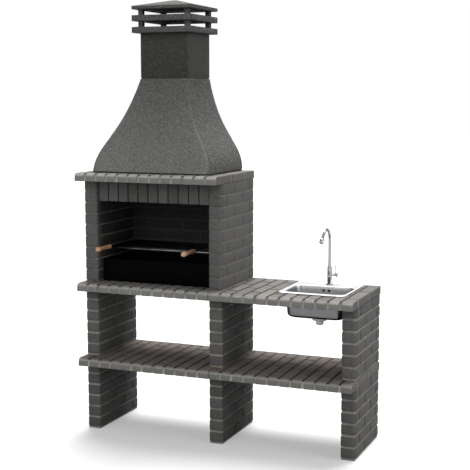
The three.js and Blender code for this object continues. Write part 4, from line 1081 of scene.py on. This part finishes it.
def roof_plate():
    """The roof: a square plate with a softened rim and four slopes up to a small flat."""
    low, eave, top = ROOF
    half = np.array([CAP_HALF / 2, CAP_HALF - 2, CAP_HALF, CAP_HALF, CAP_HALF - 1.5,
                     (CAP_HALF + ROOF_TOP_HALF) / 2, ROOF_TOP_HALF + 2, ROOF_TOP_HALF - 2])
    z = np.array([low, low, low + 2, eave - 1.5, eave, (eave + top) / 2, top - 0.3, top])
    return tube(square_rings(FLUE_CENTRE, half, np.minimum(3.0, half / 2), z, 3, 6))


add_casting("hood", [hood()], ending="casting")
add_casting("chimney_flue", [square_tube(FLUE_HALF, FLUE_LOW + SEAT, FLUE_TOP, 6.0)], FLUE_FINISH)
add_casting("cap_base_ring", [cap_ring(CAP_RINGS[0])])
add_casting("cap_middle_ring", [cap_ring(CAP_RINGS[1]), cap_feet(CAP_FEET[0])])
add_casting("cap_roof", [roof_plate(), cap_feet(CAP_FEET[1])])
refinish("hood_mortar_bed", BED_FINISH)
refinish("flue_mortar_bed", BED_FINISH)


# Cooking grid
GRIP_SHARES = [
    (0.0, 0.0), (0.55, 0.0), (0.82, 0.015), (0.94, 0.045), (1.0, 0.1), (0.97, 0.17), (0.86, 0.26),
    (0.74, 0.36), (0.69, 0.46), (0.7, 0.56), (0.76, 0.67), (0.84, 0.77), (0.9, 0.86),
    (0.9, 0.93), (0.8, 0.98), (0.6, 1.0), (0.23, 1.0), (0.0, 1.0),
]


def smooth_profile(stations, count):
    """A denser profile: the stations joined evenly by length, then averaged three times with
    their neighbours, both ends kept."""
    stations = np.asarray(stations, float)
    length = np.concatenate([[0], np.cumsum(np.linalg.norm(np.diff(stations, axis=0), axis=1))])
    spaced = np.linspace(0, length[-1], count)
    dense = np.stack([np.interp(spaced, length, stations[:, k]) for k in (0, 1)], 1)
    for _ in range(3):
        dense[1:-1] = (dense[:-2] + 2 * dense[1:-1] + dense[2:]) / 4
    return dense


def grid_rods():
    """The rod frame, its wires from front to back and the two stems into the handles."""
    (x0, x1), (y0, y1), z = GRID_X, GRID_Y, GRID_Z
    stem = GRIP_FRONT + STEM_START
    starts = [(x0, y0, z), (x0, y1, z), (x0, stem, z), (x1, stem, z)]
    ends = [(x1, y0, z), (x1, y1, z), (x0, y1 + GRID_ROD, z), (x1, y1 + GRID_ROD, z)]
    x = x0 + (x1 - x0) * np.arange(1, WIRES) / WIRES
    front, back = (np.stack([x, np.full_like(x, y), np.full_like(x, z + WIRE_RISE)], 1)
                   for y in (y0, y1))
    return stack([bars(starts, ends, GRID_ROD, 14), bars(front, back, WIRE_RADIUS, 8)])


def grip(x):
    """A turned handle: its radius and length shares carried round the stem from the front."""
    shares = smooth_profile(GRIP_SHARES, 64)
    shares[[0, -1], 0] = 0
    return lathe(shares * np.array([GRIP_RADIUS, GRIP_LENGTH]), (x, GRIP_FRONT, GRID_Z), 40,
                 **TO_BACK)


# the grid and rear rod take the darker wire, painted shade; the front rod keeps the lighter one
add_piece("cooking_grid_rods", "grid", [WIRE_SHADED], grid_rods(), ["cooking_grid"], 50)
for side, y, finish in (("front", SUPPORT_Y[0], WIRE_BRIGHT), ("rear", SUPPORT_Y[1], WIRE_SHADED)):
    rod = bars([(WALL - SUPPORT_EMBED, y, SUPPORT_Z)], [(MIDDLE + SUPPORT_EMBED, y, SUPPORT_Z)],
               SUPPORT_RADIUS - 0.1, 24)
    add_piece(f"grid_support_{side}_rod", "root", [finish], rod,
              [f"grid_support_{side}"], 50)
for side, x in zip(("left", "right"), GRID_X):
    add_piece(f"grid_handle_{side}_turning", "grid", [WOOD], grip(x),
              [f"grid_handle_{side}"], 60)


# Ember box and charcoal grate
def rib(level):
    """A rib pressed out of the box's front: a squared cosine over its height, drawn in towards
    its two ends."""
    t = np.linspace(-1, 1, 13)
    reach = RIB_DEPTH * np.cos(t * math.pi / 2) ** 2
    ends = np.concatenate([[0.0, 0.5, 0.85], np.ones(3), [0.85, 0.5, 0.0]])[:, None]
    x = np.concatenate([BOX[0] + RIB_MARGIN + np.array([0, 3, 8]),
                        np.linspace(BOX[0] + 32, BOX[1] - 35, 3),
                        BOX[1] - RIB_MARGIN - np.array([8, 3, 0])])
    front = np.stack([
        np.broadcast_to(x[:, None], (len(x), len(t))),
        BOX[2] + 0.4 - reach[None] * ends,
        WORKTOP_TOP + level + RIB_HALF * t[None] * (0.4 + 0.6 * ends),
    ], -1)
    back = front[:, ::-1].copy()
    back[..., 1] = BOX[2] + 1.5
    return tube(np.concatenate([front, back], 1)[:, ::-1])


def ember_box():
    """A folded steel box: rounded rectangles up the outside, over a rolled rim, down the inside
    and across the floor, with its ribs."""
    low, high = BOX_Z
    out = np.array([3, 1, 0, 0, 0, 0, -1.6, -1.6, 0.4, 2.6, SHEET, SHEET, SHEET + 1])
    z = np.array([low, low, low + 2, low + 30, low + 80, high - 9, high - 7, high - 2, high, high,
                  high - 2, low + SHEET + 2, low + SHEET])
    shell = tube(rounded_rings(BOX, out, 6.0, z, 4, 12))
    return stack([shell, *[rib(level) for level in RIB_LEVELS]])


def charcoal_grate():
    """Square bars from front to back on two cross bars with four feet, their edges rounded."""
    inset = SHEET + GRATE_MARGIN
    x0, x1, y0, y1 = BOX[0] + inset, BOX[1] - inset, BOX[2] + inset, BOX[3] - inset
    floor = BOX_Z[0] + SHEET + SEAT
    low = BOX_Z[0] + SHEET + GRATE_LEVEL
    reach = x1 - x0 - GRATE_BAR
    count = round(reach / GRATE_PITCH)
    boxes = [(x, y0, low, x + GRATE_BAR, y1, low + GRATE_BAR)
             for x in x0 + np.arange(count + 1) * reach / count]
    for y in (y0 + GRATE_FOOT, y1 - 2 * GRATE_FOOT):
        boxes.append((x0, y, low - 4, x1, y + GRATE_FOOT, low + 4))
        boxes += [(x, y, floor, x + GRATE_FOOT, y + GRATE_FOOT, low) for x in (x0, x1 - GRATE_FOOT)]
    return rounded_boxes(boxes, 1.2, (2, 2, 2))


add_piece("ember_box_pressing", "ember_box", [STEEL_BLACK], ember_box(),
          ["ember_box"], 35)
add_piece("charcoal_grate_bars", "charcoal_grate", [STEEL_BLACK], charcoal_grate(),
          ["charcoal_grate"], 50)
refinish("lintel_tie_bar", STEEL_BLACK)


# Sink
def sink_rings(sheet):
    """Rounded rectangles from the bowl's lip down its wall, round into its floor and on to the
    drain's circle. The radius and inset of each follow quarter circles at lip and floor."""
    top, floor = RIM_TOP - sheet, BOWL_FLOOR - sheet
    lip, taper, turn = 5.0, 8.0, 22.0
    quarter = np.linspace(0, math.pi / 2, 6)
    inset = np.concatenate([
        -lip * (1 - np.sin(quarter)), np.linspace(0, taper, 8)[1:],
        taper + turn * (1 - np.cos(quarter[1:])), [taper + turn + 18],
    ]) - sheet
    z = np.concatenate([
        top - lip * (1 - np.cos(quarter)), np.linspace(top - lip, floor + turn, 8)[1:],
        floor + turn * (1 - np.sin(quarter[1:])), [floor - 1.0],
    ])
    radius = np.concatenate([np.full(13, 47.0), np.linspace(47.0, 42.0, 6)])
    body = rounded_rings(BOWL, inset, radius, z, 8, 10)
    ring = np.array([41 + 3 - sheet, 41.0, 30.0])
    level = np.array([floor - 1.6, floor - 3.0, floor - 3.0])
    well = square_rings(DRAIN, ring, ring * 0.999, level, 8, 10)
    return np.concatenate([body, well])


def sink():
    """One sheet: under the rim, over its raised edge, down the bowl and back underneath. Gives
    the form and, for each face, whether it lies on the bowl's underside."""
    out = np.array([4, 0.6, 0, 0, 1.0, 2.4, 4.2, 7.0, 10.0, 13.0])
    z = RIM_TOP + np.array([-STEEL, -STEEL, -1.0, 0.6, 2.4, 3.0, 2.7, 1.2, 0.2, 0.0])
    rim = rounded_rings(SINK, out, RIM_CORNER, z, 8, 10)
    inside, outside = sink_rings(0.0), sink_rings(STEEL)
    form = tube(np.concatenate([rim, inside, outside[::-1]]), closed=True)
    rows = len(rim) + len(inside) + len(outside)
    row = np.arange(len(form[1])) // (len(form[1]) // rows)
    return form, (row >= rows - len(outside)).astype(int)


def carve(piece, cutters):
    """Cuts closed bodies out of a piece and keeps the result as its mesh."""
    tool = bpy.data.objects.new("cutter", make_mesh("cutter", *stack(cutters)))
    scene.collection.objects.link(tool)
    cut = piece.modifiers.new("cut", "BOOLEAN")
    cut.object = tool
    cut.solver = "EXACT"
    shaped = piece.evaluated_get(bpy.context.evaluated_depsgraph_get())
    carved = bpy.data.meshes.new_from_object(shaped)
    piece.modifiers.clear()
    carved.set_sharp_from_angle(angle=math.radians(35))
    piece.data = carved
    bpy.data.objects.remove(tool)


def plug(radius, low, high, centre, sides=28, **axes):
    """A plain cylinder about a centre, for cutting a hole."""
    return lathe([(0, low), (radius, low), (radius, high), (0, high)], centre, sides, **axes)


sink_form, underside = sink()
pressing = add_piece("sink_pressing", "root", [SATIN, SATIN_SHADED], sink_form,
                     ["sink_bowl"], 40)
# the underside takes the darker copy, painted shade
set_finish(pressing, underside)
carve(pressing, [
    *[plug(OVERFLOW_RADIUS, 0, 40, (x, BOWL[3] - 20, RIM_TOP - OVERFLOW_DROP), **TO_BACK)
      for x in OVERFLOW_X],
    plug(TAP_HOLE, -20, 20, TAP),
])
refinish("sink_sealant", RUBBER)


# Waste and overflow
def turned(node, slot, finish, profile, centre, sides=56, body="root", ending="turning", **axes):
    """A piece turned about an axis that takes its node's place."""
    form = lathe(profile, centre, sides, **axes)
    return add_piece(f"{node}_{ending}", body, [finish], form, [node], 35)


def raised(profile, level):
    """A profile of (radius, height) pairs moved up to a level."""
    return [(radius, height + level) for radius, height in profile]


SEAT_LOW = DRAIN_FLOOR - SEAT_DEPTH
SEAT_TOP = DRAIN_FLOOR + 2.3
BASKET_LOW = SEAT_LOW + 2.3
BASKET_TOP = SEAT_TOP + 0.3
BASKET_HOLES = ((11.5, 0.0), (18.0, 0.26))
WASTE_TOP = DRAIN_FLOOR - 4.1
WASTE_FLOOR = WASTE_TOP - WASTE_HEIGHT
TAIL_END = WASTE_FLOOR - TAIL_LENGTH
SPIGOT_LEVEL = WASTE_FLOOR + 9.0
SPIGOT_END = DRAIN[1] + 49.2

turned("strainer_seat", "sink_steel", SATIN, [
    *raised([(26.5, 2), (8, 2), (8, 0), (27.5, 0), (28.5, 1.5)], SEAT_LOW),
    *raised([(28.5, 0.3), (40.4, 0.3), (41, 0.9), (40.2, 1.6)], DRAIN_FLOOR),
    *raised([(36, 0), (30, 0), (27.6, -0.6), (26.5, -2)], SEAT_TOP),
], (*DRAIN, 0.0))
basket = turned("basket_strainer", "sink_steel", SATIN, [
    *raised([(0, 0), (23.6, 0), (24.6, 0.6)], BASKET_LOW),
    *raised([(25.6, -1), (27, 0), (30.3, 0), (30.6, 0.8), (30.0, 1.6), (26, 1.5), (24, 0)], BASKET_TOP),
    *raised([(23, 2.2), (21.5, 1.6), (3, 1.6), (2, 2.6), (1.9, 12), (2.4, 13.5), (4, 15),
             (4.2, 16.8), (3.2, 17.8), (0, 18)], BASKET_LOW),
], (*DRAIN, 0.0), body="strainer")
carve(basket, [
    plug(1.8, -3, 6, (DRAIN[0] + radius * math.cos(angle), DRAIN[1] + radius * math.sin(angle),
                      BASKET_LOW), 10)
    for radius, turn in BASKET_HOLES
    for angle in np.arange(12) * math.pi / 6 + turn
])
turned("waste_body", "white_plastic", WASTE_WHITE, [
    *raised([(13, 0), (15.4, 0), (16, 0.8)], TAIL_END),
    *raised([(16, -0.6), (16.8, 0), (37.5, 0), (40.6, 1.6), (42, 4.4)], WASTE_FLOOR),
    *raised([(42, -5), (41, -4.6), (41, -3.6), (42, -3.2), (42, -0.6), (41.4, 0), (39, 0)], WASTE_TOP),
    *raised([(39, 3), (13, 3)], WASTE_FLOOR),
], (*DRAIN, 0.0), 64, ending="moulding")
spigot = lathe([(5.9, 0), (7.2, 0), (7.2, 15), (8.2, 15.4), (8.2, 17.4), (7.8, 18), (5.9, 18)],
               (DRAIN[0], DRAIN[1] + 40.0, SPIGOT_LEVEL), 28, **TO_BACK)
add_piece("waste_spigot_moulding", "root", [WASTE_WHITE], spigot, (), 35)
refinish("waste_gasket", RUBBER)


def ribbed_nut():
    """The tail nut: a ring whose outside swells in 24 rounded ribs, a cosine about the axis."""
    profile = np.array([(16.4, 0.0), (20.2, 0.0), (21.0, 1.0), (21.0, 19.0), (20.2, 21.7),
                        (16.4, 21.7)])
    ribs = np.array([0, 0, 0.55, 0.55, 0, 0])
    radius = profile[:, :1] + ribs[:, None] * (np.cos(full_turn(144) * 24)[None] - 0.1)
    return shaped_ring(DRAIN, radius, profile[:, 1] + WASTE_FLOOR - 22.2)


def bent_run(start, heading, side, runs, bend, angle, count):
    """Points and directions along a straight run, a round bend and a second straight run."""
    start, heading, side = (np.asarray(v, float) for v in (start, heading, side))
    arc = bend * angle
    along = np.concatenate([
        np.linspace(0, runs[0], 4)[:-1], runs[0] + np.linspace(0, arc, count),
        runs[0] + arc + np.linspace(0, runs[1], 4)[1:],
    ])[:, None]
    turned_by = np.clip(along - runs[0], 0, arc) / bend
    direction = heading * np.cos(turned_by) + side * np.sin(turned_by)
    straight = np.clip(along, 0, runs[0])
    beyond = np.clip(along - runs[0] - arc, 0, None)
    points = (start + heading * (straight + bend * np.sin(turned_by))
              + side * bend * (1 - np.cos(turned_by)) + direction * beyond)
    return points, direction


def pipe(points, directions, radius, sides=28, bore=0.0):
    """Circles square to a path that bends about X, solid or hollow with a wall."""
    binormal = np.array([1.0, 0.0, 0.0])
    normal = np.cross(binormal, directions)
    angle = full_turn(sides)
    spoke = (np.cos(angle)[None, :, None] * normal[:, None]
             + np.sin(angle)[None, :, None] * binormal[None, None])
    rings = (points[:, None] + radius * spoke)[:, ::-1]
    if bore:
        return tube(np.concatenate([rings, (points[:, None] + bore * spoke)[::-1, ::-1]]), closed=True)
    return tube(rings)


def overflow_box():
    """The box behind the bowl's overflow holes, hollowed from its front, its inside painted black as
    shade.
    """
    width, depth, height = OVERFLOW_BOX
    front, top = OVERFLOW_FRONT, OVERFLOW_TOP
    back, low, half = front + depth, top - height, width / 2
    room = half - OVERFLOW_WALL
    outside = [(TAP[0] - half, front, low, TAP[0] + half, back, top)]
    hollow = [(TAP[0] - room, front - 5, low + OVERFLOW_WALL,
               TAP[0] + room, back - OVERFLOW_WALL, top - OVERFLOW_WALL)]
    box = add_piece("overflow_box_moulding", "root", [WASTE_WHITE, RUBBER],
                    rounded_boxes(outside, 4.0, (3, 2, 3)), ["overflow_box"], 35)
    carve(box, [rounded_boxes(hollow, 2.0, (1, 1, 1))])
    x, y, z = (face_values(box, "center") * 1000 + ORIGIN).T
    inside = (np.abs(x - TAP[0]) < half - 2) & (y < back - 2) & (z < top - 2) & (z > low + 2)
    # painted shade: the inner faces take black rubber
    set_finish(box, inside.astype(int))


def overflow_path():
    """Down from under the overflow box, round a bend and forward to the spigot."""
    foot = (DRAIN[0], OVERFLOW_FRONT + OVERFLOW_BOX[1] / 2, OVERFLOW_TOP - OVERFLOW_BOX[2] - SEAT)
    runs = (foot[2] - OVERFLOW_BEND - SPIGOT_LEVEL, foot[1] - OVERFLOW_BEND - SPIGOT_END)
    return bent_run(foot, (0, 0, -1), (0, -1, 0), runs, OVERFLOW_BEND, math.pi / 2, 18)


add_piece("waste_tail_nut_moulding", "root", [WASTE_WHITE], ribbed_nut(),
          ["waste_tail_nut"], 45)
overflow_box()
add_piece("overflow_pipe_moulding", "root", [WASTE_WHITE],
          pipe(*overflow_path(), OVERFLOW_PIPE[0], bore=OVERFLOW_PIPE[1]), ["overflow_pipe"], 40)


# Tap
TAP_LEVER = (TAP[0], TAP[1], RIM_TOP + LEVER_LEVEL)
LEVER_X = TAP[0] + LEVER_REACH
turned("tap_base_ring", "chrome", CHROME, [
    (9.4, 0.3), (19.4, 0.3), (20, 0.9), (20, 2.4), (19.2, 3.6), (16.6, 4.7), (15, 5), (9.4, 5),
], TAP, 64)
turned("tap_body", "chrome", CHROME, [
    (0, -62), (8.4, -62), (9, -61.4), (9, 5.3), (12.2, 5.3), (13, 6.2), (13, 40), (13, 74),
    (12.6, 74.5), (12.6, 75.3), (13, 75.8), (13, 96.6), (12, TAP_HEIGHT), (8.4, TAP_HEIGHT),
    (8.4, 80), (0, 80),
], TAP, 64)
add_piece("tap_boss_turning", "root", [CHROME], lathe([
    (0, 4), (7.4, 4), (8, 8), (8, 17.6), (7.4, 19), (4.4, 19), (4.4, 10), (0, 10),
], TAP_LEVER, 40, **TO_SIDE), (), 35)
turned("spout_collar", "chrome", CHROME, raised([
    (8.4, 0.3), (11, 0.3), (11.5, 0.9), (11.5, 5.6), (10.2, 7.6), (9, 8.3), (8.4, 8.3),
], TAP_HEIGHT), TAP, 48)
spout_path = bent_run((TAP[0], TAP[1], RIM_TOP + SPOUT_FOOT), (0, 0, 1), (0, -1, 0), SPOUT_RUNS,
                      SPOUT_BEND, math.radians(SPOUT_TURN), 60)
add_piece("tap_spout_tube", "spout", [CHROME], pipe(*spout_path, SPOUT_RADIUS, 36),
          ["tap_spout"], 50)
tip, tip_way = (way[-1] for way in spout_path)
turned("tap_aerator", "chrome", CHROME, [
    (0, 0), (10.8, 0), (12, 0.8), (12.5, 2), (12.5, 8), (12, 8.6), (12, 9.8), (12.5, 10.4),
    (12.5, 20.6), (11.7, 22), (10.1, 22), (9.5, 21.4), (9.5, 18), (0, 18),
], tip + 0.3 * tip_way, 48, "spout", along=tip_way, across=(1, 0, 0))
turned("tap_washer", "rubber", RUBBER, [
    (9.4, -4.8), (16.4, -4.8), (17, -4.2), (17, -2.4), (16.4, -1.8), (9.4, -1.8),
], TAP, 48, ending="ring")


def hexagon_nut():
    """A nut: six sides outside with their corners turned off, a round bore inside."""
    angle = full_turn(72)
    flat = 13.0 / np.cos((angle + math.pi / 6) % (math.pi / 3) - math.pi / 6)
    bore, end, near = np.full(72, 9.4), np.minimum(flat, 13.2), np.minimum(flat, 14.4)
    low, high = -14.1, -5.1
    z = np.array([low, low, low + 0.5, low + 1.4, high - 1.4, high - 0.5, high, high])
    radius = np.stack([bore, end, near, flat, flat, near, end, bore])
    return shaped_ring(TAP, radius, RIM_TOP + z)


add_piece("tap_nut_turning", "root", [BRASS], hexagon_nut(), ["tap_nut"], 25)
turned("tap_inlet", "brass", BRASS, [
    (0, -84.3), (4.2, -84.3), (4.2, -84.2), (5.2, -84.3), (6, -83.6), (6, -80), (5.5, -79.4),
    (6, -78.8), (5.5, -78.2), (6, -77.6), (5.5, -77), (6, -76.4), (6, -62.9), (5.4, -62.3), (0, -62.3),
], TAP, 36)
turned("lever_hub", "chrome", CHROME, [
    (0, -9), (3.6, -9), (4, -8.6), (4, 0), (6.4, 0), (7, 0.7), (7, 15), (7.6, 17.6), (10.4, 19.4),
    (13.6, 20.2), (14.8, 21.2), (15, 22.8), (14.4, 24.2), (12.6, 25), (0, 25),
], (LEVER_X, *TAP_LEVER[1:]), 48, "lever", **TO_SIDE)
turned("lever_pin", "chrome", CHROME, [
    (0, 4.3), (2.2, 4.3), (2.2, 10), (2.0, 30), (2.0, 46), (2.5, 47.4), (3.1, 48.6), (3.3, 50.3),
    (3.1, 52), (2.2, 53.2), (0, 53.6),
], (LEVER_X + LEVER_PIN_REACH, *TAP_LEVER[1:]), 32, "lever")


# Floor, light and camera
LAMPS = (
    ("back_light", 4.6, (-20, -1, 0), 36),
    ("side_light", 1.44, (0, 70, 0), 40),
    ("front_light", 1.2, (65, 0, 0), 60),
)
FLOOR_HALF = 40000.0
FLOOR_TONE = tint(100, 100, 100)
FLOOR_SHOWN = (0.9, 0.9, 0.9, 1.0)
FLOOR_GLOW = 0.3
AIR_LIGHT = 0.18
VIEW_PLACE = (2.3440, -5.6231, 1.9161)
VIEW_TURN = (82.749, 0.044, 22.284)
VIEW_LENS = 84.16
FILM_WIDTH = 36.0


def shown_white(tree, light, shown):
    """A shader that is one thing to the camera and to shiny faces, and another to all else."""
    path = add_node(tree, "ShaderNodeLightPath").outputs
    pairs = [(0, path["Is Camera Ray"]), (1, path["Is Glossy Ray"])]
    either = add_node(tree, "ShaderNodeMath", pairs, operation="MAXIMUM").outputs[0]
    return add_node(tree, "ShaderNodeMixShader", [("Fac", either), (1, light), (2, shown)]).outputs[0]


def lay_floor():
    """A pale floor that carries the shadow: nearly white to the camera, grey in its own light."""
    corners = np.array([[-1, -1, 0], [1, -1, 0], [1, 1, 0], [-1, 1, 0]]) * FLOOR_HALF
    corners[:, :2] += ORIGIN[:2]
    floor = bpy.data.objects.new("floor", make_mesh("floor", corners, [[0, 1, 2, 3]]))
    scene.collection.objects.link(floor)
    f = Finish("floor_white", 0.9, 0.0, Specular_IOR_Level=0.0)
    f.color = FLOOR_TONE
    white = f.node("ShaderNodeEmission", [("Strength", 1.0)]).outputs[0]
    bright = f.node("ShaderNodeBsdfDiffuse", [("Color", FLOOR_SHOWN)]).outputs[0]
    shown = f.node("ShaderNodeMixShader", [("Fac", FLOOR_GLOW), (1, bright), (2, white)]).outputs[0]
    surface = f.tree.nodes["Material Output"].inputs["Surface"]
    join(f.tree, shown_white(f.tree, f.shader.outputs[0], shown), surface)
    floor.data.materials.append(f.done())


def set_world():
    """White all round to the camera, a faint even light to everything else."""
    world = bpy.data.worlds.new("studio")
    world.use_nodes = True
    tree = world.node_tree
    white = (1, 1, 1, 1)
    light = tree.nodes["Background"]
    join(tree, white, light.inputs["Color"])
    join(tree, AIR_LIGHT, light.inputs["Strength"])
    shown = add_node(tree, "ShaderNodeBackground", [("Color", white), ("Strength", 1.0)])
    surface = tree.nodes["World Output"].inputs["Surface"]
    join(tree, shown_white(tree, light.outputs[0], shown.outputs[0]), surface)
    scene.world = world


def add_lamp(name, strength, turn, spread):
    """A far lamp: its strength, the turn of its rays and how far they spread, in degrees."""
    data = bpy.data.lights.new(name, "SUN")
    data.energy = strength
    data.angle = math.radians(spread)
    made = bpy.data.objects.new(name, data)
    made.rotation_euler = [math.radians(a) for a in turn]
    scene.collection.objects.link(made)


def add_camera():
    """The camera that sees the piece as the photo does."""
    camera = bpy.data.cameras.new("camera")
    camera.lens = VIEW_LENS
    camera.sensor_width = FILM_WIDTH
    viewer = bpy.data.objects.new("camera", camera)
    viewer.location = VIEW_PLACE
    viewer.rotation_euler = [math.radians(a) for a in VIEW_TURN]
    scene.collection.objects.link(viewer)
    scene.camera = viewer


lay_floor()
set_world()
for lamp in LAMPS:
    add_lamp(*lamp)
add_camera()
scene.view_settings.view_transform = "Standard"
